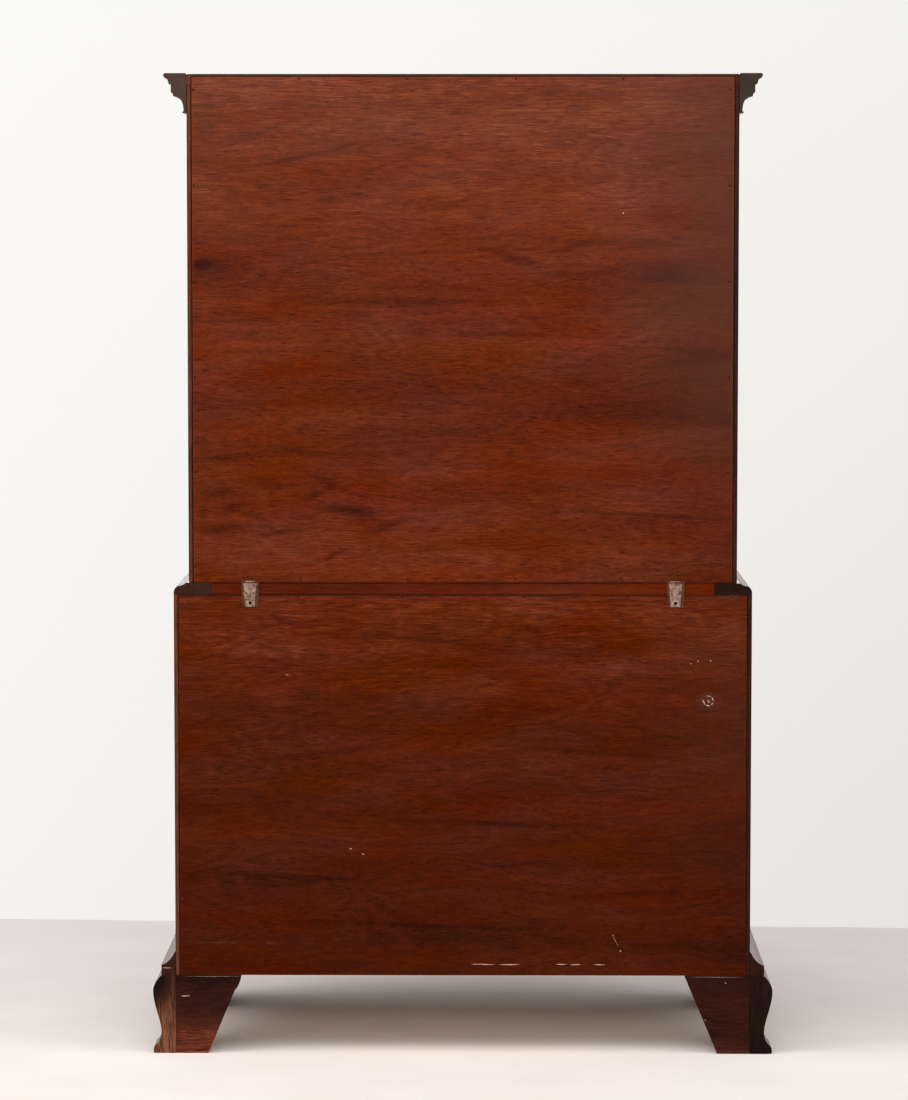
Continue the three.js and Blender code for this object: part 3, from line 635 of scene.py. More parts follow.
lights = {name: softbox(name, *settings) for name, settings in SOFTBOXES.items()}
floor_paint, tree = new_material("white_floor")
here = add(tree, "ShaderNodeTexCoord")["Object"]
mottle = stretched_noise(tree, here, *FLOOR_LUMPS)
near, far = (add(tree, "ShaderNodeValToRGB", (mottle,), stops)[0] for stops in FLOOR_TONES_EVENING_THE_LIGHT)
depth = add(tree, "ShaderNodeSeparateXYZ", (here,))[1]
nearness = add(tree, "ShaderNodeMapRange", (depth, *TONE_CHANGE))[0]
colour = add(tree, "ShaderNodeMix", {0: nearness, 6: far, 7: near}, data_type="RGBA")[2]
close_material(tree, {"Base Color": colour, "Roughness": 0.7, "Specular IOR Level": 0.2})
mesh = bpy.data.meshes.new("floor")
mesh.from_pydata([(x, y, 0.0) for x, y in FLOOR_CORNERS], [], [(0, 1, 2, 3)])
mesh.materials.append(floor_paint)
floor = bpy.data.objects.new("floor", mesh)
scene.collection.objects.link(floor)
unlit = bpy.data.collections.new("not_lit_by_the_front_card")
unlit.objects.link(floor)
unlit.collection_objects[0].light_linking.link_state = "EXCLUDE"
lights["front_card"].light_linking.receiver_collection = unlit
print(len(lights), "lights")

# %% [markdown]
# ## Boards
#
# Sides, tops, dustboards and drawer boxes are sawn and planed, so the imported model's own boards are
# right as they are. What they lack is the touch of sandpaper: no real edge is perfectly sharp, and
# light always catches it. Each board is copied, its triangles are joined into whole faces, and a
# bevel takes a millimetre or less off its edges. Faces that look different, such as the stained rear
# edges, get another material by the way they face.

# %% Stained edges
# The edges at +x face the lamps and get paler tones than those at -x: lit and shaded copies of one stain, painted
# light and shade.
EDGE_STAINS_LIT_AND_SHADED = {
    "right": (1, 0.03, ("#260f08", "#431e12", "#59301f", "#693c29", "#7b4b36")),
    "left": (-1, 0.05, ("#100604", "#1c0c07", "#2b130b", "#3c1d12", "#4f2a1b")),
}
EDGE_FIGURE = (0.8, 0.1, 0.8, 0.4)
# Painted shade: dark lines down the inner and outer arris of each case's rear edges, in the gap beside the back
# and on the rounded edge: x, z and half length in mm.
ARRIS_SHADE_LINES = ((495, 1300, 2000), (503, 1300, 1800), (523, 500, 1600), (531, 500, 1400))
ARRIS_HALF_WIDTH, ARRIS_SHADE_WEIGHT = 1.7, 0.55
edge_stain_lit_and_shaded = {}
for side, (sign, gloss, tones) in EDGE_STAINS_LIT_AND_SHADED.items():
    lines = [((sign * x, z), ARRIS_HALF_WIDTH, half, 0, ARRIS_SHADE_WEIGHT) for x, z, half in ARRIS_SHADE_LINES]
    edge_stain_lit_and_shaded[side] = wood(f"lit_and_shaded_stained_edge_{side}", "z", tones, EDGE_FIGURE, 0.4, gloss, lines)
TOP_EDGE_TONES = ("#1c0c06", "#2c160d", "#3c2013", "#4c2a1a", "#5c3522")
# At the ends of the top's rear edge, the +x end is painted lighter, with a painted sheen, and the -x end darker:
# painted light and shade.
TOP_EDGE_LIGHT_AND_SHADE = (((499, 1790), 9, 60, 0, -0.45), ((-499, 1790), 9, 60, 0, 0.25))
TOP_EDGE_SHEEN = (((499, 1790), 9, 60, 0, 0.6),)
TOP_EDGE = (TOP_EDGE_TONES, (0.6, 0.1, 0.6, 0.3), 0.4, 0.03, TOP_EDGE_LIGHT_AND_SHADE, TOP_EDGE_SHEEN)
top_edge = wood("stained_top_edge", "x", *TOP_EDGE)
RAIL_TONES = ("#270b04", "#401406", "#511b08", "#5f240c", "#6e3013")
# The two dark lines along the rail's rear edge, at z 875.5 and 852.5, are painted shadow in the gaps above and
# below it.
RAIL_GAP_SHADOWS = (((0, 875.5), 3000, 3.5, 0, 0.8), ((0, 852.5), 3000, 2.5, 0, 0.7))
rail_wood = wood("stained_rail", "x", RAIL_TONES, (0.8, 0.15, 0.8, 0.5), 0.4, 0.02, RAIL_GAP_SHADOWS, seed=2.2)
print(len(edge_stain_lit_and_shaded) + 2, "stained edges")

# %% Boards with eased edges


def corners(node):
    """The lowest and highest corner of a CAD node, as arrays."""
    return [np.array(corner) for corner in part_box(node)]


BACK = corners("lower_side_right")[1][1]
drawers = [name.removesuffix("_box") for name in nodes if name.endswith("_box")]
SAME_POINT = 0.01 * MM
BOARD_EASE, SIDE_EASE, TOP_EASE, BOX_EASE = 0.5 * MM, 1.0 * MM, 0.8 * MM, 0.3 * MM
DRAWER_SIDE, SIDE_MARGIN = 10 * MM, 0.5 * MM


def eased_board(node, materials, paint_of, width=BOARD_EASE):
    """A CAD board again: its triangles joined into flat faces and its edges eased. paint_of picks a
    material's number from a face's normal and middle."""
    mesh = nodes[node].data.copy()
    mesh.name = f"{node}_board"
    mesh.materials.clear()
    for material in materials:
        mesh.materials.append(material)
    shape = bmesh.new()
    shape.from_mesh(mesh)
    bmesh.ops.remove_doubles(shape, verts=shape.verts, dist=SAME_POINT)
    bmesh.ops.dissolve_limit(shape, angle_limit=math.radians(1), verts=shape.verts, edges=shape.edges)
    for face in shape.faces:
        face.material_index = paint_of(face.normal, face.calc_center_median())
    shape.to_mesh(mesh)
    shape.free()
    finish_mesh(mesh, 35)
    thing = bpy.data.objects.new(mesh.name, mesh)
    ease(thing, width)
    set_up(thing, node)


def rear_edge(normal, middle):
    """1 for a face that looks back and lies at the very back, and 0 for any other."""
    return int(normal[1] > 0.9 and middle[1] > BACK - MM)


def behind_front(normal, middle):
    """0 for a face that looks out at the front, and 1 for any other."""
    return int(normal[1] > -0.9)


for side in ("right", "left"):
    for case in ("upper", "lower"):
        eased_board(f"{case}_side_{side}", [mahogany["z"], edge_stain_lit_and_shaded[side]], rear_edge, SIDE_EASE)
eased_board("upper_top", [mahogany["x"], top_edge], rear_edge, TOP_EASE)
eased_board("lower_top", [mahogany["x"], rail_wood], rear_edge)
INNER_BOARDS = [name for name in nodes if "dustboard" in name or name.endswith("_bottom")]
for node in [*INNER_BOARDS, "upper_frieze_frame", "upper_drawer_divider"]:
    grain = "z" if node.endswith("divider") else "x"
    eased_board(node, [mahogany[grain], oak["x"]], behind_front)
for drawer in drawers:
    low, high = corners(f"{drawer}_box")
    inside = (high[0] - low[0]) / 2 - DRAWER_SIDE - SIDE_MARGIN
    middle_x = (high[0] + low[0]) / 2
    eased_board(
        f"{drawer}_box",
        [oak["x"], oak["y"]],
        lambda normal, middle: int(abs(middle[0] - middle_x) > inside),
        BOX_EASE,
    )
print(len(INNER_BOARDS) + 2, "inner boards and", len(drawers), "drawer boxes")

# %% [markdown]
# ## The plywood backs
#
# Each back is one sheet of plywood, laid in rebates and held by panel pins. Plywood this thin never
# lies quite flat, and it bulges by a fraction of a millimetre in the middle, which bends what it
# mirrors. A grid of points can follow such a bulge, and its edge is rounded off where the sheet was
# sanded.

# %% Two bowed sheets
BULGE = 0.7 * MM
SHEET_EDGE = 1.2 * MM
SHEET_STEPS = 50
CLOSE_SHARES = np.array([0, 0.1, 0.3, 0.6])


def bulge_at(x, z, low, high):
    """How far a sheet stands out at a point: highest in the middle, none along its edges, as
    BULGE sin(pi u) sin(pi v) where u and v run from 0 to 1 across the sheet."""
    across = (x - low[0]) / (high[0] - low[0])
    upward = (z - low[2]) / (high[2] - low[2])
    return BULGE * np.sin(np.pi * across) * np.sin(np.pi * upward)


def spaced(start, end):
    """Even places from start to end, with a few close together at each end."""
    close = SHEET_EDGE * CLOSE_SHARES
    inner = np.linspace(start + SHEET_EDGE, end - SHEET_EDGE, SHEET_STEPS)
    return np.concatenate([start + close, inner, end - close[::-1]])


for case, paint in plywood.items():
    # The outer edge is rounded: it falls back by r - sqrt(r^2 - (r - d)^2) where the distance d to
    # the edge is less than r.
    node = f"{case}_back_panel"
    low, high = corners(node)
    x, z = np.meshgrid(spaced(low[0], high[0]), spaced(low[2], high[2]), indexing="ij")
    gap = np.minimum.reduce([x - low[0], high[0] - x, z - low[2], high[2] - z])
    short = np.clip(SHEET_EDGE - gap, 0, SHEET_EDGE)
    fall = SHEET_EDGE - np.sqrt(SHEET_EDGE**2 - short**2)
    bulge = bulge_at(x, z, low, high)
    outer = np.stack([x, high[1] + bulge - fall, z], axis=-1)
    inner = np.stack([x, low[1] + bulge, z], axis=-1)
    piece(f"{node}_sheet", node, [slab(outer, inner)], [paint])
print("sheets bulge by", BULGE / MM, "mm")

# %% [markdown]
# ### Panel pins and old holes
#
# Small iron pins with flat heads hold the sheets, about seven inches apart. The clips were once a
# little higher, so their old screw holes are left in the upper sheet.

# %% Pins
iron, tree = new_material("blued_iron_pins")
close_material(tree, {"Base Color": linear("#2a110a"), "Roughness": 0.8, "Specular IOR Level": 0.05})
# A flat near-black material for holes: painted shade in place of the dark inside of a hole.
painted_hole_shade, tree = new_material("dark_hole")
close_material(tree, {"Base Color": linear("#0a0605"), "Roughness": 0.9, "Specular IOR Level": 0.05})
PIN_RADIUS, HOLE_RADIUS = 2.0 * MM, 1.6 * MM
PIN_HEAD = np.array([(0.4, -0.3), (0.85, -0.25), (1.0, -0.1), (1.0, 1.5)]) * (PIN_RADIUS, MM)
HOLE = np.array([(0.3, -0.12), (0.9, -0.12), (1.0, 0.0), (1.0, 1.5)]) * (HOLE_RADIUS, MM)
UPPER_PINS = [(x, z) for z in (1794.8, 882.0) for x in (298, 101, -96, -291)]
UPPER_PINS += [(x, 1775.0 - 174.2 * i) for x in (490.5, -486) for i in range(6)]
LOWER_PINS = [(x, z) for z in (849.2, 152.0) for x in (494, 302, 111, -112, -302, -495)]
LOWER_PINS += [(x, z) for x in (515.5, -518) for z in (706, 558, 446, 297)]
OLD_HOLES = [(402, 885), (395, 885), (386, 885), (-381, 888.5), (-395, 888.5)]


def studded(name, node, places, profile, paint):
    """One turned stud at each place on a sheet, in mm."""
    low, high = corners(node)
    studs = []
    for x, z in np.array(places) * MM:
        studs.append(turned(profile, np.array([x, high[1] + bulge_at(x, z, low, high), z]), 16))
    piece(name, node, studs, [paint], False)


studded("upper_panel_pins", "upper_back_panel", UPPER_PINS, PIN_HEAD, iron)
studded("lower_panel_pins", "lower_back_panel", LOWER_PINS, PIN_HEAD, iron)
# The old screw holes are dark plugs on the sheet: painted shade.
studded("old_screw_holes", "upper_back_panel", OLD_HOLES, HOLE, painted_hole_shade)
print(len(UPPER_PINS + LOWER_PINS), "pins")

# %% [markdown]
# ## Mouldings
#
# A moulding is one outline carried along a length of wood. Here an outline is a list of straight
# runs and curves, drawn as shares of its size, so the same table serves a moulding of any size. At
# the front corners the lengths are mitred. The rear ends are sawn square and stained, and they show
# end grain.

# %% Outlines
CORNICE_SHARES = [
    [(0, 0)],
    [(0.16, 0)],
    [(0.21, 0.03), (0.12, 0.05)],
    [(0.12, 0.27), (0.24, 0.41), (0.56, 0.42)],
    [(0.58, 0.5), (0.67, 0.52)],
    [(0.67, 0.71)],
    [(0.74, 0.72)],
    [(0.79, 0.76), (0.8, 0.83)],
    [(0.95, 0.89)],
    [(1.05, 0.97), (0.93, 1)],
    [(0, 1)],
]
WAIST_SHARES = [
    [(0, 0)],
    [(1, 0)],
    [(1, 0.1)],
    [(1, 0.6), (0.87, 0.745)],
    [(0.75, 0.77), (0.68, 1)],
    [(0, 1)],
]
BASE_SHARES = [[(0, 0)], [(1, 0)], [(1, 0.44)], [(0.42, 0.52), (0.04, 1)], [(0, 1)]]
CURVE_STEPS = 12


def outline(shares, projection, height):
    """The points of an outline. A row of one point is a straight run to it. A row of more is a curve
    with its controls and its end: the sum of C(n, k) t^k (1 - t)^(n - k) P(k)."""
    points = [np.array(shares[0][0], float)]
    for row in shares[1:]:
        handles = np.array([points[-1], *row], float)
        degree = len(handles) - 1
        t = np.linspace(0, 1, 2 if degree == 1 else CURVE_STEPS + 1)[1:, None]
        weights = [math.comb(degree, k) * t**k * (1 - t) ** (degree - k) for k in range(degree + 1)]
        points.extend(sum(weight * handle for weight, handle in zip(weights, handles)))
    return np.array(points) * (projection, height)


print(len(outline(CORNICE_SHARES, 1, 1)), "points round the cornice")

# %% Mitred lengths
# The sawn ends at +x face the lamps and get lighter tones than those at -x: lit and shaded copies of one end
# grain, painted light and shade.
SAWN_END_LIT_AND_SHADED_TONES = {
    "cornice_right": ("#201510", "#33241e", "#42312a", "#4e3d36", "#5d4b43"),
    "cornice_left": ("#1a120f", "#272019", "#342a26", "#403530", "#4d413b"),
    "waist_right": ("#170c08", "#26150f", "#331d15", "#3e261c", "#4b3126"),
    "waist_left": ("#0c0503", "#160a05", "#201008", "#2b180f", "#3a241a"),
    "base_right": ("#160a06", "#23120c", "#321b13", "#43271b", "#583526"),
    "base_left": ("#0e0604", "#1a0c07", "#28130c", "#381e15", "#4c2c20"),
}
end_grain_lit_and_shaded = {
    name: wood(f"end_grain_lit_and_shaded_{name}", "y", tones, (0.6, 0.1, 0.6, 0.6), 0.5, 0.03)
    for name, tones in SAWN_END_LIT_AND_SHADED_TONES.items()
}


def moulding(node, shares, half, front):
    """A moulding round the right side, the front and the left side of a case, whose inner edge stands
    at this half width and front. Its two sawn ends have materials of their own."""
    low, high = corners(node)
    profile = outline(shares, high[0] - half, high[2] - low[2])
    around = [(half, BACK, 1, 0), (half, front, 1, -1), (-half, front, -1, -1), (-half, BACK, -1, 0)]
    stations = [((x, y, low[2]), (out_x, out_y, 0)) for x, y, out_x, out_y in around]
    *faces, paints = swept(profile, stations, [0, 0, 0], 1)
    paints[-1] = 2
    kind = node.split("_")[0]
    materials = [mahogany["y"], end_grain_lit_and_shaded[f"{kind}_right"], end_grain_lit_and_shaded[f"{kind}_left"]]
    piece(f"{kind}_run", node, [(*faces, paints)], materials, crease=30)


UPPER_HALF, LOWER_HALF = (corners(f"{case}_side_right")[1][0] for case in ("upper", "lower"))
UPPER_FRONT, LOWER_FRONT = (corners(f"{case}_side_right")[0][1] for case in ("upper", "lower"))
AIR = 0.3 * MM
WAIST_WIDTH = 69 * MM
moulding("waist_moulding", WAIST_SHARES, LOWER_HALF - WAIST_WIDTH, LOWER_FRONT + WAIST_WIDTH)
moulding("base_moulding", BASE_SHARES, LOWER_HALF + AIR, LOWER_FRONT - AIR)
half, front = UPPER_HALF + AIR, UPPER_FRONT - AIR
cornice_low, cornice_high = corners("cornice_right")
foot_z = cornice_low[2]
CORNICE_PROJECTION = cornice_high[0] - half
profile = outline(CORNICE_SHARES, CORNICE_PROJECTION, cornice_high[2] - foot_z)
profile[:, 0] *= CORNICE_PROJECTION / profile[:, 0].max()
side_stations = [((half, BACK, foot_z), (1, 0, 0)), ((half, front + AIR / 2, foot_z), (1, -1, 0))]
front_stations = [
    ((half - AIR / 2, front, foot_z), (1, -1, 0)),
    ((AIR / 2 - half, front, foot_z), (-1, -1, 0)),
]
side_length = swept(profile, side_stations, [0], 1)
for name, surface, grain, ends in (
    ("cornice_right", side_length, "y", "cornice_right"),
    ("cornice_left", mirrored(side_length), "y", "cornice_left"),
    ("cornice_front", swept(profile, front_stations, [0], 1), "x", "cornice_right"),
):
    piece(f"{name}_run", name, [surface], [mahogany[grain], end_grain_lit_and_shaded[ends]], crease=30)
print("cornice stands out by", round(CORNICE_PROJECTION / MM, 1), "mm")

# %% [markdown]
# ## Feet
#
# Ogee bracket feet are cut from thick moulded stock. Their faces swell and draw in like a wave, and
# a scroll is sawn out of each face beyond the toe. Both are functions of height: how far the face
# stands out, and how long the saw left it. So a foot is a stack of thin outlines, one at each
# height. The front feet turn the corner in a mitre, and glue blocks hold them from inside.

# %% Ogee curves
FOOT_FACE_SHARES = [
    [(0.96, 0)],
    [(1.02, 0.04), (0.95, 0.09)],
    [(0.76, 0.14), (0.64, 0.19), (0.64, 0.28)],
    [(0.64, 0.42), (1, 0.62), (1, 0.8)],
    [(1, 0.88), (0.8, 0.95), (0.64, 1)],
]
FOOT_SCROLL_SHARES = [
    [(0.45, 0)],
    [(0.45, 0.07), (0.5, 0.12)],
    [(0.66, 0.2), (0.66, 0.5)],
    [(0.62, 0.8), (0.82, 0.836)],
    [(0.9, 0.84)],
    [(0.93, 0.897)],
    [(1, 0.9)],
    [(1, 1)],
]
foot_low, foot_high = corners("rear_foot_right")
FOOT_TOP = corners("base_moulding")[0][2] - AIR
FOOT_BELLY = foot_high[0] - LOWER_HALF
FOOT_LENGTH = foot_high[1] - foot_low[1]
LEVEL_STEP = 0.1 * MM
face_line = outline(FOOT_FACE_SHARES, FOOT_BELLY, FOOT_TOP)
face_line[:, 0] = np.minimum(face_line[:, 0], FOOT_BELLY)
scroll_line = outline(FOOT_SCROLL_SHARES, FOOT_LENGTH, FOOT_TOP)
levels = np.unique(np.concatenate([face_line[:, 1], scroll_line[:, 1]]).round(6))
levels = levels[np.append(True, np.diff(levels) > LEVEL_STEP)]
belly = np.interp(levels, face_line[:, 1], face_line[:, 0])
length = np.interp(levels, scroll_line[:, 1], scroll_line[:, 0])
print(len(levels), "levels in a foot")

# %% Outlines at every height


def stacked(outlines, paints, cap_paint):
    """The skin of closed outlines that lie above one another, with a material for each side."""
    rows, sides = outlines.shape[:2]
    walls = quads(rows, sides, ring_columns=True).reshape(rows - 1, sides, 4)
    groups = [(walls[:, side], paint) for side, paint in enumerate(paints)]
    return skin(outlines, *groups, (end_faces(rows, sides), cap_paint))


def at_levels(*places):
    """Closed outlines from the x and y of their points, each one value or one for each level."""
    full = [np.broadcast_to(value, levels.shape) for place in places for value in place]
    flat = np.stack(full, axis=-1).reshape(len(levels), -1, 2)
    heights = np.repeat(levels[:, None, None], flat.shape[1], axis=1)
    return np.concatenate([flat, heights], axis=2)


half, front = LOWER_HALF, LOWER_FRONT
front_outlines = at_levels(
    (half, front),
    (half, front + length),
    (half + belly, front + length),
    (half + belly, front - belly),
    (half - length, front - belly),
    (half - length, front),
)
rear_outlines = at_levels(
    (half, BACK - length),
    (half + belly, BACK - length),
    (half + belly, BACK),
    (half, BACK),
)
print(front_outlines.shape[1], "corners in a front foot's outline")

# %% Feet and their glue blocks
BLOCK_WIDTH, BLOCK_LIFT, BLOCK_TOP = 45 * MM, 4 * MM, foot_high[2]
BRACKET_THICKNESS, HOUSING = 18 * MM, 6 * MM
INSIDE = corners("lower_bottom")[1][0] - HOUSING


def glue_blocks(y0, y1):
    """A block inside a foot, whose inner part reaches up to the bottom board."""
    x0 = LOWER_HALF - BLOCK_WIDTH
    outer = block((x0, y0, BLOCK_LIFT), (LOWER_HALF - AIR, y1, FOOT_TOP), 2)
    return [outer, block((x0, y0, BLOCK_LIFT), (INSIDE - AIR, y1, BLOCK_TOP), 2)]


rear_end = BACK - BRACKET_THICKNESS - AIR
foot_surfaces = {
    "front": [stacked(front_outlines, [0] * 6, 0), *glue_blocks(LOWER_FRONT, LOWER_FRONT + BLOCK_WIDTH)],
    "rear": [stacked(rear_outlines, [0, 0, 1, 0], 0), *glue_blocks(rear_end - BLOCK_WIDTH, rear_end)],
}
# The foot ends at +x face the lamps and get lighter tones than those at -x: lit and shaded copies, painted light
# and shade.
FOOT_END_LIT_AND_SHADED_TONES = {
    "right": ("#140a07", "#27150e", "#3d2318", "#5c3625", "#7d4f38"),
    "left": ("#0c0504", "#150a07", "#1e100b", "#2b1811", "#3d241a"),
}
FOOT_END_FIGURE = (0.9, 0.1, 0.8, 0.5)
# On the +x foot end, a lighter patch low down is painted light from the floor, and a darker one near the top is a
# painted shadow under the case.
FOOT_END_LIGHT_AND_SHADE = {"right": (((557, 20), 60, 120, 0, -0.5), ((575, 130), 40, 50, 0, 0.6)), "left": ()}
for side, tones in FOOT_END_LIT_AND_SHADED_TONES.items():
    foot_end = wood(f"foot_end_{side}", "z", tones, FOOT_END_FIGURE, 0.45, 0.03, FOOT_END_LIGHT_AND_SHADE[side])
    paints = [mahogany["z"], foot_end, oak["x"]]
    for place, surfaces in foot_surfaces.items():
        node = f"{place}_foot_{side}"
        shown = [mirrored(surface) for surface in surfaces] if side == "left" else surfaces
        piece(f"{node}_ogee", node, shown, paints, crease=30)
print(2 * len(foot_surfaces), "feet")

# %% Brackets
BRACKET_EASE = 0.8 * MM
# The bracket at +x faces the lamps and gets lighter tones than the one at -x: lit and shaded copies, painted light
# and shade.
BRACKET_LIT_AND_SHADED_TONES = {
    "right": ("#190806", "#2c120c", "#431c13", "#5c2a1c", "#743827"),
    "left": ("#120504", "#1e0b06", "#2c1109", "#3d1b11", "#51281b"),
}
BRACKET_FIGURE = (0.5, 0.15, 0.8, 0.5)
# Each bracket is painted darker at the top, a painted shadow under the case, and lighter near the floor, painted
# light from the floor.
BRACKET_SHADE_AND_FLOOR_LIGHT = {
    "right": (((470, 150), 400, 110, 0, 0.5), ((470, 0), 400, 55, 0, -0.45)),
    "left": (((-470, 150), 400, 80, 0, 0.15), ((-470, 0), 400, 40, 0, -0.25)),
}
for side, tones in BRACKET_LIT_AND_SHADED_TONES.items():
    paint = wood(f"bracket_{side}", "x", tones, BRACKET_FIGURE, 0.35, 0.04, BRACKET_SHADE_AND_FLOOR_LIGHT[side])
    eased_board(f"rear_bracket_{side}", [paint], lambda normal, middle: 0, BRACKET_EASE)
print(len(BRACKET_LIT_AND_SHADED_TONES), "brackets")

# %% [markdown]
# ## The clips
#
# Two worn nickel-plated clips keep the upper case from sliding. Each is a folded plate with a raised
# tongue whose top edge is rolled over the upper case. A plate with a hole is one ring of points: the
# hole's edge and the plate's edge, seen at the same angles from the hole, and both again at the back.

# %% Worn metal
NICKEL_TONES = ((0.34, "#2e1d14"), (0.45, "#64493a"), (0.55, "#7f6452"), (0.72, "#9c806c"))
SHADOW_TONES = ((0.3, "#26130b"), (0.52, "#54311f"), (0.75, "#6e4832"))
PIT_WIDTH, PIT_RELIEF = 1.6 * MM, 0.3 * MM
NICKEL_BLOTCH = 6 * MM


def worn_metal(name, stops, metallic, roughness, gloss, blotch):
    """Plated or cast metal with worn blotches of this size."""
    material, tree = new_material(name)
    here = add(tree, "ShaderNodeTexCoord")["Object"]
    blotches = stretched_noise(tree, here, blotch, blotch, 4.0, 0.65)
    fine = stretched_noise(tree, here, PIT_WIDTH, PIT_WIDTH, 2.0)
    bump = {"Height": fine, "Strength": 0.2, "Distance": PIT_RELIEF}
    surface = {
        "Base Color": add(tree, "ShaderNodeValToRGB", (blotches,), stops)[0],
        "Metallic": metallic,
        "Roughness": weighed(tree, roughness, [(blotches, 0.4)]),
        "Specular IOR Level": gloss,
        "Normal": add(tree, "ShaderNodeBump", bump)[0],
    }
    close_material(tree, surface)
    return material


nickel = worn_metal("worn_nickel", NICKEL_TONES, 0.3, 0.5, 0.5, NICKEL_BLOTCH)
# The plate, flanges and screws round the tongue get the darker SHADOW_TONES: tarnish together with painted shade
# round the raised tongue.
tarnish_and_shade = worn_metal("tarnished_nickel", SHADOW_TONES, 0.0, 0.7, 0.08, NICKEL_BLOTCH)
print("metals", nickel.name, "and", tarnish_and_shade.name)

# %% A clip's sizes
CLIP_TOP_WIDTH, CLIP_BOTTOM_WIDTH, CLIP_EASE = 33 * MM, 29 * MM, 0.2 * MM
PLATE_BACK, PLATE_FACE, TONGUE_FACE = 0.3 * MM, 1.5 * MM, 2.7 * MM
TONGUE_TOP_WIDTH, TONGUE_BOTTOM_WIDTH = 24.5 * MM, 17.5 * MM
TONGUE_FOOT, TONGUE_HEAD = 1.2 * MM, 4.4 * MM
FLANGE_WIDTH, FLANGE_GAP, FLANGE_RISE = 1.3 * MM, 0.4 * MM, 0.8 * MM
CLIP_HOLE, CLIP_HOLE_RADIUS = np.array([0, 8 * MM]), 2.8 * MM
HOLE_DISC = np.array([(3.3, 0.0), (3.3, 0.2)]) * MM
LIP_HALF_WIDTH, LIP_RADIUS, LIP_PROUD, LIP_END_SHARE = 9.5 * MM, 1.45 * MM, 0.2 * MM, 0.35
# The height of each pair of domes, their half spacing, half width, half height and how far they rise.
SCREWS = np.array((26, 6.8, 2.1, 2.1, 0.75)) * MM
OVALS = np.array((37, 5.6, 2.6, 3.6, 0.45)) * MM
print("a clip tapers from", round(CLIP_TOP_WIDTH / MM), "to", round(CLIP_BOTTOM_WIDTH / MM), "mm")

# %% Plates, domes and bars


def tapered(top_width, bottom_width, z0, z1, steps=8):
    """Points round a plate that tapers downwards, with some along each edge."""
    low, high = bottom_width / 2, top_width / 2
    turns = np.array([(low, z0), (high, z1), (-high, z1), (-low, z0)])
    t = np.linspace(0, 1, steps, endpoint=False)[:, None]
    return np.concatenate([a + (b - a) * t for a, b in zip(turns, np.roll(turns, -1, axis=0))])


def pierced(edge, hole, radius_at, y0, y1):
    """A plate between y0 and y1 with a hole: P(i) runs round the edge, and the hole's point lies
    radius_at(angle) from the hole's middle on the way to P(i)."""
    ways = edge - hole
    angles = np.arctan2(ways[:, 1], ways[:, 0])
    inner = hole + radius_at(angles)[:, None] * np.stack([np.cos(angles), np.sin(angles)], axis=1)
    loops = [(inner, y0), (edge, y0), (edge, y1), (inner, y1)]
    points = np.stack([np.insert(loop, 1, y, axis=1) for loop, y in loops], axis=1)
    return skin(points, (quads(len(edge), 4, True, True), 0))


def round_hole(angles):
    """The edge of a drilled hole is equally far from its middle at every angle."""
    return np.full_like(angles, CLIP_HOLE_RADIUS)


def domes(up, half_spacing, half_width, half_height, rise, sides=20, steps=5):
    """Two halves of a flattened ball side by side, which stand out along +Y from the tongue: rise
    cos(a) high where the edge has shrunk to sin(a) of its size."""
    cosine, sine = circle(sides)
    fall = np.linspace(np.pi / 2, 0.15, steps)[:, None]
    across, upward = half_width * np.sin(fall) * cosine, half_height * np.sin(fall) * sine
    rings = np.stack([across, rise * np.cos(fall) + 0 * cosine, upward], axis=-1)
    return [lofted(rings + (sign * half_spacing, TONGUE_FACE, up)) for sign in (-1, 1)]


def flange(sign, tall):
    """The strip that stands along one tapered edge of the plate: a flat outline carried along +Y."""
    foot_x, head_x, inward = sign * CLIP_BOTTOM_WIDTH / 2, sign * CLIP_TOP_WIDTH / 2, sign * FLANGE_WIDTH
    z0, z1 = FLANGE_GAP, tall - FLANGE_GAP
    strip = np.array([(foot_x, z0), (head_x, z1), (head_x - inward, z1), (foot_x - inward, z0)])
    return extruded(np.insert(strip, 1, PLATE_FACE, axis=1), 0, np.array([0, FLANGE_RISE, 0]))


def tube(path, radii, sides):
    """A round bar along a path in an upright plane that faces Y: P(i, a) = path(i)
    + r(i) (cos a n(i) + sin a Y), where n stands square to the path."""
    along = np.gradient(path, axis=0)
    along /= np.linalg.norm(along, axis=1, keepdims=True)
    facing = np.array([0, 1.0, 0])
    cosine, sine = (values[:, None] for values in circle(sides))
    ring = cosine * np.cross(along, facing)[:, None] + sine * facing
    return lofted(path[:, None] + radii[:, None, None] * ring)


def repainted(surface, paint):
    """The same skin in another material."""
    *faces, paints = surface
    return *faces, np.full_like(paints, paint)


def moved(surface, offset):
    """The same skin in another place."""
    points, *faces = surface
    return points + offset, *faces


print(len(domes(*SCREWS)[0][0]), "points on a screw's dome")

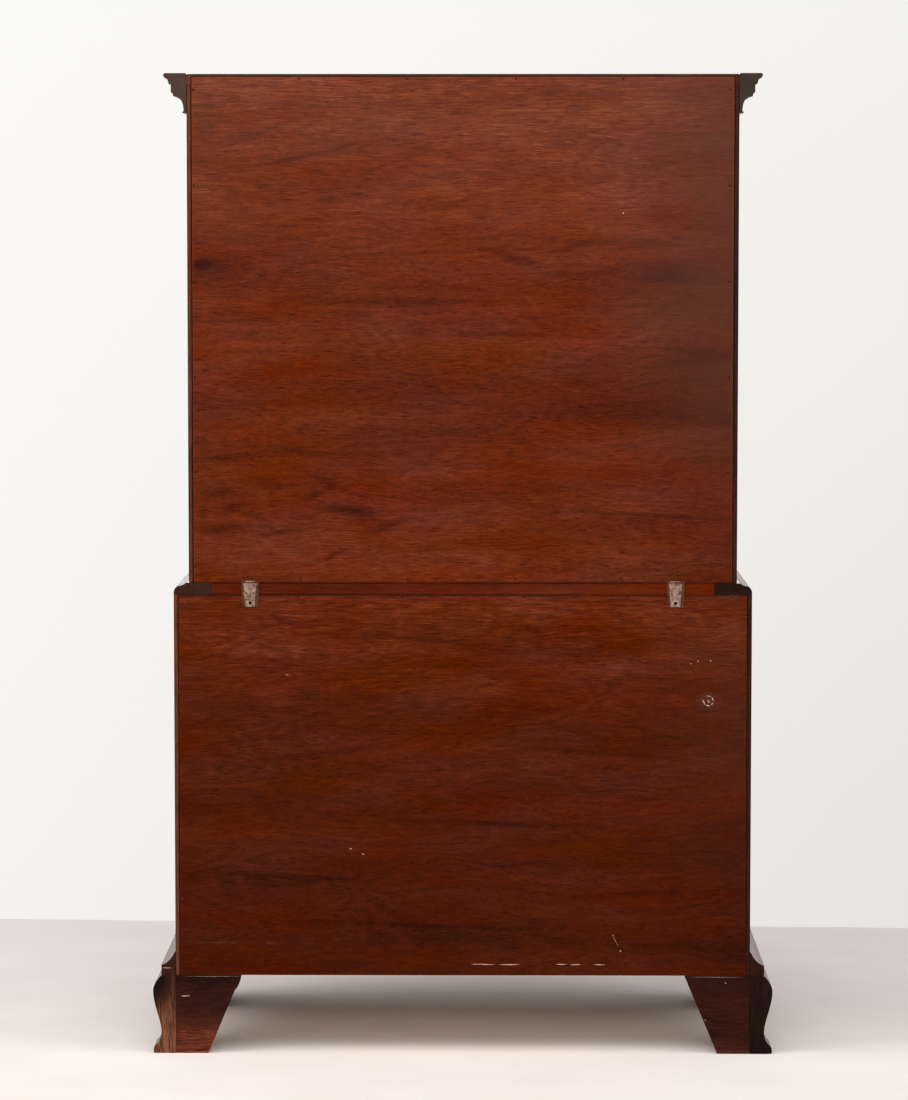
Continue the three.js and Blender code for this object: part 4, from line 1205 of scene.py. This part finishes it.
# %% Folded clips
for side in ("right", "left"):
    node = f"clip_{side}"
    low, high = corners(node)
    base = np.array([(low[0] + high[0]) / 2, BACK, low[2]])
    tall = high[2] - low[2]
    plate_edge = tapered(CLIP_TOP_WIDTH, CLIP_BOTTOM_WIDTH, 0, tall)
    plate = pierced(plate_edge, CLIP_HOLE, round_hole, PLATE_BACK, PLATE_FACE)
    tongue_edge = tapered(TONGUE_TOP_WIDTH, TONGUE_BOTTOM_WIDTH, TONGUE_FOOT, tall - TONGUE_HEAD)
    tongue = pierced(tongue_edge, CLIP_HOLE, round_hole, PLATE_FACE, TONGUE_FACE)
    # The rolled lip is a bar along x that thins towards its two ends.
    ends = np.linspace(-1, 1, 9)
    path = ends[:, None] * (LIP_HALF_WIDTH, 0, 0) + (0, PLATE_FACE + LIP_PROUD, tall - LIP_RADIUS)
    lip = tube(path, LIP_RADIUS * (1 - LIP_END_SHARE * np.abs(ends) ** 8), 16)
    bright = [moved(s, base) for s in (tongue, lip, *domes(*OVALS))]
    # The plate, its flanges and the screws are in the darker nickel: tarnish with painted shade.
    dull = [plate, flange(-1, tall), flange(1, tall), *domes(*SCREWS)]
    dull = [repainted(moved(s, base), 1) for s in dull]
    piece(f"{node}_folded", node, bright + dull, [nickel, tarnish_and_shade], eased=CLIP_EASE)
    # A dark disc shows through the clip's hole: painted shade.
    behind = turned(HOLE_DISC, base + (0, PLATE_BACK, CLIP_HOLE[1]), 20)
    piece(f"{node}_hole", node, [behind], [painted_hole_shade], False)
print("clips at", round(base[0] / MM, 1), "mm")

# %% [markdown]
# ## Drawer fronts
#
# A drawer front is a plank with a thin figured veneer on its face. A cock bead, a slim half-round
# strip, runs round it and takes the knocks. At both ends, sockets are chopped in from behind for the
# dovetails of the drawer's sides. All the cuts run along x, so the middle and the two ends are
# outlines drawn from the side and stretched along x.

# %% Fronts with cock beads
VENEER = 1.0 * MM
FRONT_THICKNESS = 20 * MM
LAP = 6 * MM
TAIL_PITCH = 52 * MM
TAIL_ROOT_SHARE, TAIL_TIP_SHARE = 0.27, 0.36
GROOVE_RISE, GROOVE_HEIGHT, GROOVE_DEPTH = 7.7 * MM, 6.6 * MM, 6 * MM
BEAD_RADIUS, BEAD_FOOT = 1.5 * MM, 0.5 * MM
turn = np.linspace(0, np.pi, 9)
BEAD_ARC = zip(BEAD_RADIUS - BEAD_RADIUS * np.cos(turn), BEAD_FOOT + BEAD_RADIUS * np.sin(turn))
BEAD_SECTION = np.array([(0, 0), *BEAD_ARC, (2 * BEAD_RADIUS, 0)])


def framed(section, low, high, face):
    """A bead mitred round a rectangle: P(i, j) = corner(i) + inward(i) * section(j).in, and
    section(j).out in front of the face."""
    inward = np.array([(1, 0, 1), (-1, 0, 1), (-1, 0, -1), (1, 0, -1)])[:, None]
    corner = np.where(inward > 0, low, high)
    corner[..., 1] = face
    points = corner + inward * section[:, :1] - np.array([0, 1, 0]) * section[:, 1:]
    return skin(points, (quads(4, len(section), True, True), 0))


def front_profile(face, rear, low_z, high_z, groove_z):
    """The middle of a front from the side, with the groove for the bottom board."""
    deep, groove_top = rear - GROOVE_DEPTH, groove_z + GROOVE_HEIGHT
    along_y = (face, face, rear, rear, deep, deep, rear, rear)
    heights = (low_z, high_z, high_z, groove_top, groove_top, groove_z, groove_z, low_z)
    return [(0, y, z) for y, z in zip(along_y, heights)]


def end_profile(face, rear, low_z, high_z, side_low, side_high):
    """An end of a front from the side, with a socket for each dovetail."""
    tails = max(2, round((side_high - side_low) / TAIL_PITCH))
    pitch = (side_high - side_low) / tails
    root, tip = TAIL_ROOT_SHARE * pitch + AIR, TAIL_TIP_SHARE * pitch + AIR
    depth = rear - FRONT_THICKNESS + LAP
    points = [(0, face, low_z), (0, face, high_z), (0, rear, high_z)]
    for i in reversed(range(tails)):
        middle = side_low + (i + 0.5) * pitch
        heights = (middle + root, middle + tip, middle - tip, middle - root)
        points += [(0, y, z) for y, z in zip((rear, depth, depth, rear), heights)]
    return [*points, (0, rear, low_z)]


print(len(BEAD_SECTION), "points round a cock bead")

# %% [markdown]
# ## Brass
#
# Each pull is cast and turned brass. A bail, the swinging handle, hangs from two posts. Every post
# stands on a small moulded rose and ends in an eye, a short barrel that is drilled for the bail's
# pin. The bail has a swan's neck: it swells below the posts and is thickest where the hand takes it.
# A keyhole with a brass plate marks each lock.

# %% Brass and its sizes
BRASS_TONES = ((0.3, "#6e4f22"), (0.5, "#a67c37"), (0.72, "#c79c50"))
BRASS_BLOTCH = 30 * MM
brass = worn_metal("aged_brass", BRASS_TONES, 1.0, 0.3, 0.5, BRASS_BLOTCH)
HALF_SPACING = 38 * MM
POST_AXIS = 16 * MM
EYE_RADIUS, EYE_BORE, EYE_HALF_WIDTH = 4.9 * MM, 2.8 * MM, 4.6 * MM
EYE_FALL, EYE_CHAMFER = 0.9 * MM, 0.2 * MM
# Radius and distance in front of the drawer's face, in mm, along a rose and along a post.
ROSE = [(0, 3.2), (4.2, 3.2), (5.6, 2.4), (8.8, 2.1), (9.6, 1.3), (11.6, 1.1), (12.6, 0.5), (12.8, 0)]
POST = [(4.4, 2.6), (3.9, 4.2), (3.0, 6.5), (2.9, 8.5), (3.7, 10.4), (4.3, 11.6), (3.6, 12.9)]
BAIL_DROP = 38 * MM
ROD_RADIUS = 2.3 * MM
BAIL_TIP, BAIL_BEND, SHOULDER = 32.4 * MM, 40.3 * MM, 45.9 * MM
NECK_SHARES = [(1.24, 0.32), (1.04, 0.62), (0.78, 0.85), (0.42, 0.96)]
GRIP_SWELL, GRIP_SHARE = 1.2 * MM, 0.28
COLLAR_RISE, COLLAR_SHARE, COLLAR_PLACE_SHARES = 0.7 * MM, 0.012, (0.36, 0.4)
KEYHOLE_RADIUS, KEYHOLE_SLOT, KEYHOLE_DROP = 2.2 * MM, 1.1 * MM, 7.5 * MM
KEYHOLE_DISC = np.array([(7.82, 0.0), (7.82, 0.15)]) * MM
PLATE_HALF_WIDTH, PLATE_HALF_HEIGHT = 8.5 * MM, 13 * MM
PLATE_THICKNESS, PLATE_DROP, PLATE_EASE = 1.4 * MM, 2 * MM, 0.25 * MM
LOCK_RISE, LOCK_RISE_SHARE = 14 * MM, 0.2
print("a bail hangs", BAIL_DROP / MM, "mm below its axis")

# %% Eyes, bails and keyholes


def eye(centre, sides=28):
    """A drilled barrel that lies along x. Its section is a closed loop of radius and x, turned:
    P(a, j) = centre + (x(j), r(j) cos a, r(j) sin a)."""
    bulge = np.linspace(-1, 1, 9)
    outside = zip(EYE_RADIUS - EYE_FALL * bulge**4, bulge * EYE_HALF_WIDTH)
    bore_end = EYE_HALF_WIDTH - EYE_CHAMFER
    radius, along = np.array([(EYE_BORE, -bore_end), *outside, (EYE_BORE, bore_end)]).T
    cosine, sine = (values[:, None] for values in circle(sides))
    points = np.stack([along + 0 * cosine, radius * cosine, radius * sine], axis=-1)
    return skin(points + centre, (quads(sides, len(radius), True, True), 0))


def smooth_path(points, steps):
    """A Catmull-Rom curve: from P1 to P2 it is half of 2 P1 + (P2 - P0) t
    + (2 P0 - 5 P1 + 4 P2 - P3) t^2 + (3 P1 - P0 - 3 P2 + P3) t^3."""
    points = np.array(points, float)
    ends = [2 * points[0] - points[1], *points, 2 * points[-1] - points[-2]]
    t = np.linspace(0, 1, steps, endpoint=False)[:, None]
    spans = [
        (2 * p + (q - o) * t + (2 * o - 5 * p + 4 * q - r) * t**2 + (3 * p - o - 3 * q + r) * t**3) / 2
        for o, p, q, r in zip(ends, ends[1:], ends[2:], ends[3:])
    ]
    return np.concatenate([*spans, points[-1:]])


def bail_surface(centre):
    """A bail that hangs from the axis through centre, with its pins turned inward. Its radius swells
    by GRIP_SWELL exp(-(s / GRIP_SHARE)^2), where s is 0 in the middle and 1 at the tips, and by
    COLLAR_RISE in the same way at its narrow collars."""
    arm = [(BAIL_TIP, 0), (BAIL_BEND, 0), (SHOULDER, -ROD_RADIUS)]
    arm += [(x * HALF_SPACING, -drop * BAIL_DROP) for x, drop in NECK_SHARES]
    route = [(x, 0, z) for x, z in arm] + [(0, 0, -BAIL_DROP)] + [(-x, 0, z) for x, z in reversed(arm)]
    path = smooth_path(route, 8)
    place = np.linspace(-1, 1, len(path))
    swell = GRIP_SWELL * np.exp(-((place / GRIP_SHARE) ** 2))
    collars = sum(np.exp(-(((np.abs(place) - at) / COLLAR_SHARE) ** 2)) for at in COLLAR_PLACE_SHARES)
    return tube(path + centre, ROD_RADIUS + swell + COLLAR_RISE * collars, 18)


def keyhole_radius(angles):
    """How far a keyhole's edge is from its round middle: the slot reaches down between two lines."""
    from_down = np.abs((angles + np.pi / 2 + np.pi) % (2 * np.pi) - np.pi)
    slot = KEYHOLE_SLOT / np.maximum(np.sin(from_down), 1e-6)
    foot = KEYHOLE_DROP / np.maximum(np.cos(from_down), 1e-6)
    reach = np.maximum(KEYHOLE_RADIUS, np.minimum(slot, foot))
    return np.where(from_down < np.pi / 2, reach, KEYHOLE_RADIUS)


print(len(bail_surface(0)[0]), "points in a bail")

# %% Every drawer front with its pulls and lock
along_x = np.array([1.0, 0, 0])
for drawer in drawers:
    front = f"{drawer}_front"
    low, high = corners(front)
    box_low, box_high = corners(f"{drawer}_box")
    rear = high[1]
    face = rear - FRONT_THICKNESS
    wood_face = face + VENEER
    middle = front_profile(wood_face, rear, low[2], high[2], box_low[2] + GROOVE_RISE)
    end = end_profile(wood_face, rear, low[2], high[2], box_low[2], box_high[2])
    reach, span = DRAWER_SIDE + AIR, high[0] - low[0]
    plank = [
        extruded(middle, (low[0] + reach) * along_x, (span - 2 * reach) * along_x),
        extruded(end, low[0] * along_x, reach * along_x),
        extruded(end, (high[0] - reach) * along_x, reach * along_x),
        block((low[0], face, low[2]), (high[0], wood_face, high[2]), 1),
    ]
    piece(f"{drawer}_plank", front, plank, [mahogany["x"], flame_mahogany])
    piece(f"{drawer}_bead", front, [framed(BEAD_SECTION, low, high, face)], [bead_mahogany], False)
    hinges = [joint for joint in frame["joints"] if joint["name"].startswith(f"{drawer}_bail")]
    fittings = []
    for joint in hinges:
        centre = np.array(joint["pos_m"])
        for sign in (-1, 1):
            axis = centre + np.array([sign * HALF_SPACING, 0, 0])
            post = axis + np.array([0, POST_AXIS, 0])
            fittings += [turned(np.array(ROSE) * MM, post, 40), turned(np.array(POST) * MM, post, 28)]
            fittings.append(eye(axis))
        name = joint["child"]
        piece(f"{name}_rod", name, [bail_surface(centre)], [brass], crease=50)
    piece(f"{drawer}_posts", front, fittings, [brass], False, crease=40)
    lock_rise = LOCK_RISE if len(hinges) == 1 else LOCK_RISE_SHARE * (high[2] - low[2])
    lock = np.array([(low[0] + high[0]) / 2, face, hinges[0]["pos_m"][2] + lock_rise])
    edge = np.stack(circle(72), axis=1) * (PLATE_HALF_WIDTH, PLATE_HALF_HEIGHT) - (0, PLATE_DROP)
    plate = moved(pierced(edge, np.zeros(2), keyhole_radius, -PLATE_THICKNESS, 0), lock)
    piece(f"{drawer}_escutcheon", front, [plate], [brass], False, PLATE_EASE)
    # A dark disc behind the keyhole plate: painted shade in the keyhole.
    piece(f"{drawer}_keyhole", front, [turned(KEYHOLE_DISC, lock, 24)], [painted_hole_shade], False)
print(len(drawers), "drawer fronts")

# %% [markdown]
# ### Drawer stops
#
# Two small blocks behind each front, glued to the board below, stop the drawer when its front is
# flush with the case.

# %% Stops
STOP_SIZE = np.array([38, 14, 2.8]) * MM
STOP_EASE = 0.4 * MM
STOP_PLACE_SHARE = 0.3
for case in ("lower", "upper"):
    stops = []
    for drawer in (name for name in drawers if name.startswith(case)):
        low, high = corners(f"{drawer}_front")
        floor_z = corners(f"{drawer}_box")[0][2] - AIR
        for share in (-STOP_PLACE_SHARE, STOP_PLACE_SHARE):
            x = (low[0] + high[0]) / 2 + share * (high[0] - low[0]) - STOP_SIZE[0] / 2
            start = np.array([x, high[1] + AIR, floor_z])
            stops.append(block(start, start + STOP_SIZE))
    piece(f"{case}_drawer_stops", f"{case}_bottom", stops, [oak["x"]], False, eased=STOP_EASE)
print("stops", "%g x %g x %g mm" % tuple(STOP_SIZE / MM))

# %% [markdown]
# ## Age
#
# Age and moving have left their marks. Where the stain is knocked off, pale wood shows. Each mark is
# a thin sliver that tapers to both ends, just proud of the surface, since a real scratch raises its
# edges too.

# %% Scratches, specks and scuffs
FIBRE_LENGTH, FIBRE_WIDTH = 4 * MM, 1.2 * MM
PALE_TONES = ((0.35, "#8f6a54"), (0.65, "#c9ab97"))
pale_wood, tree = new_material("bare_wood")
here = add(tree, "ShaderNodeTexCoord")["Object"]
fibres = stretched_noise(tree, here, FIBRE_LENGTH, FIBRE_WIDTH, 2.0)
colour = add(tree, "ShaderNodeValToRGB", (fibres,), PALE_TONES)[0]
close_material(tree, {"Base Color": colour, "Roughness": 0.7, "Specular IOR Level": 0.1})
PROUD = 0.12 * MM
# Each mark's two ends, x and z, and its width, in mm.
LOWER_CHIPS = [
    ((327, 706), (320, 704), 1.2), ((210, 384), (203, 381), 1.4), ((187, 374), (181, 371), 1.2),
    ((-277, 223), (-279, 220), 1.8), ((-278, 220), (-288, 200), 0.6), ((-290, 194), (-293, 191), 2.0),
    ((-431, 731), (-434, 731), 2.0), ((-454, 731), (-457, 732), 1.6), ((-418, 726), (-421, 727), 1.4),
    ((-14, 167.5), (-62, 166.5), 1.6), ((-66, 166.5), (-107, 167), 1.8),
    ((-172, 167.5), (-194, 167), 1.5), ((-198, 166.5), (-218, 167), 1.6),
    ((-240, 167), (-264, 166.5), 1.4), ((-441, 660), (-446, 650), 2.2), ((-446, 650), (-455, 648), 1.8),
    ((-456, 649), (-461, 655), 1.6), ((-461, 657), (-458, 665), 1.8), ((-457, 666), (-448, 667), 1.4),
    ((-450, 660), (-454, 654), 2.4),
]
CHIPS = {
    "upper_back_panel": [((-294, 1551), (-291, 1551), 3.0)],
    "lower_back_panel": LOWER_CHIPS,
    "base_moulding": [((538, 159.5), (556, 159.8), 1.6)],
    "rear_bracket_right": [((503, 107.3), (522, 106.8), 1.7), ((404, 143.8), (519, 143.8), 0.45)],
    "rear_bracket_left": [
        ((-416, 143.8), (-521, 143.8), 0.5),
        ((-484, 134), (-488, 132), 1.2),
        ((-447, 64), (-451, 63), 1.4),
    ],
}


def sliver(start, end, width, low, high, bulge):
    """A thin pale chip between two points of a board's rear face, in mm: its half width is
    width / 2 * sin(pi t) from one end to the other. bulge is 0 on a board that lies flat, and 1 on a
    bowed sheet."""
    start, end = np.array(start) * MM, np.array(end) * MM
    t = np.linspace(0.02, 0.98, 9)[:, None]
    middle = start + (end - start) * t
    way = (end - start) / np.linalg.norm(end - start)
    across = np.array([-way[1], way[0]]) * width * MM / 2 * np.sin(np.pi * t)
    flat = np.concatenate([middle + across, (middle - across)[::-1]])
    y = high[1] + bulge * bulge_at(flat[:, 0], flat[:, 1], low, high)
    ring = np.stack([flat[:, 0], y - 2 * PROUD, flat[:, 1]], axis=1)
    return extruded(ring, 0, np.array([0, 3 * PROUD, 0]))


for node, marks in CHIPS.items():
    low, high = corners(node)
    slivers = [sliver(*mark, low, high, int(node.endswith("_panel"))) for mark in marks]
    piece(f"{node.removesuffix('_panel')}_marks", node, slivers, [pale_wood], False)
print(sum(len(marks) for marks in CHIPS.values()), "marks")
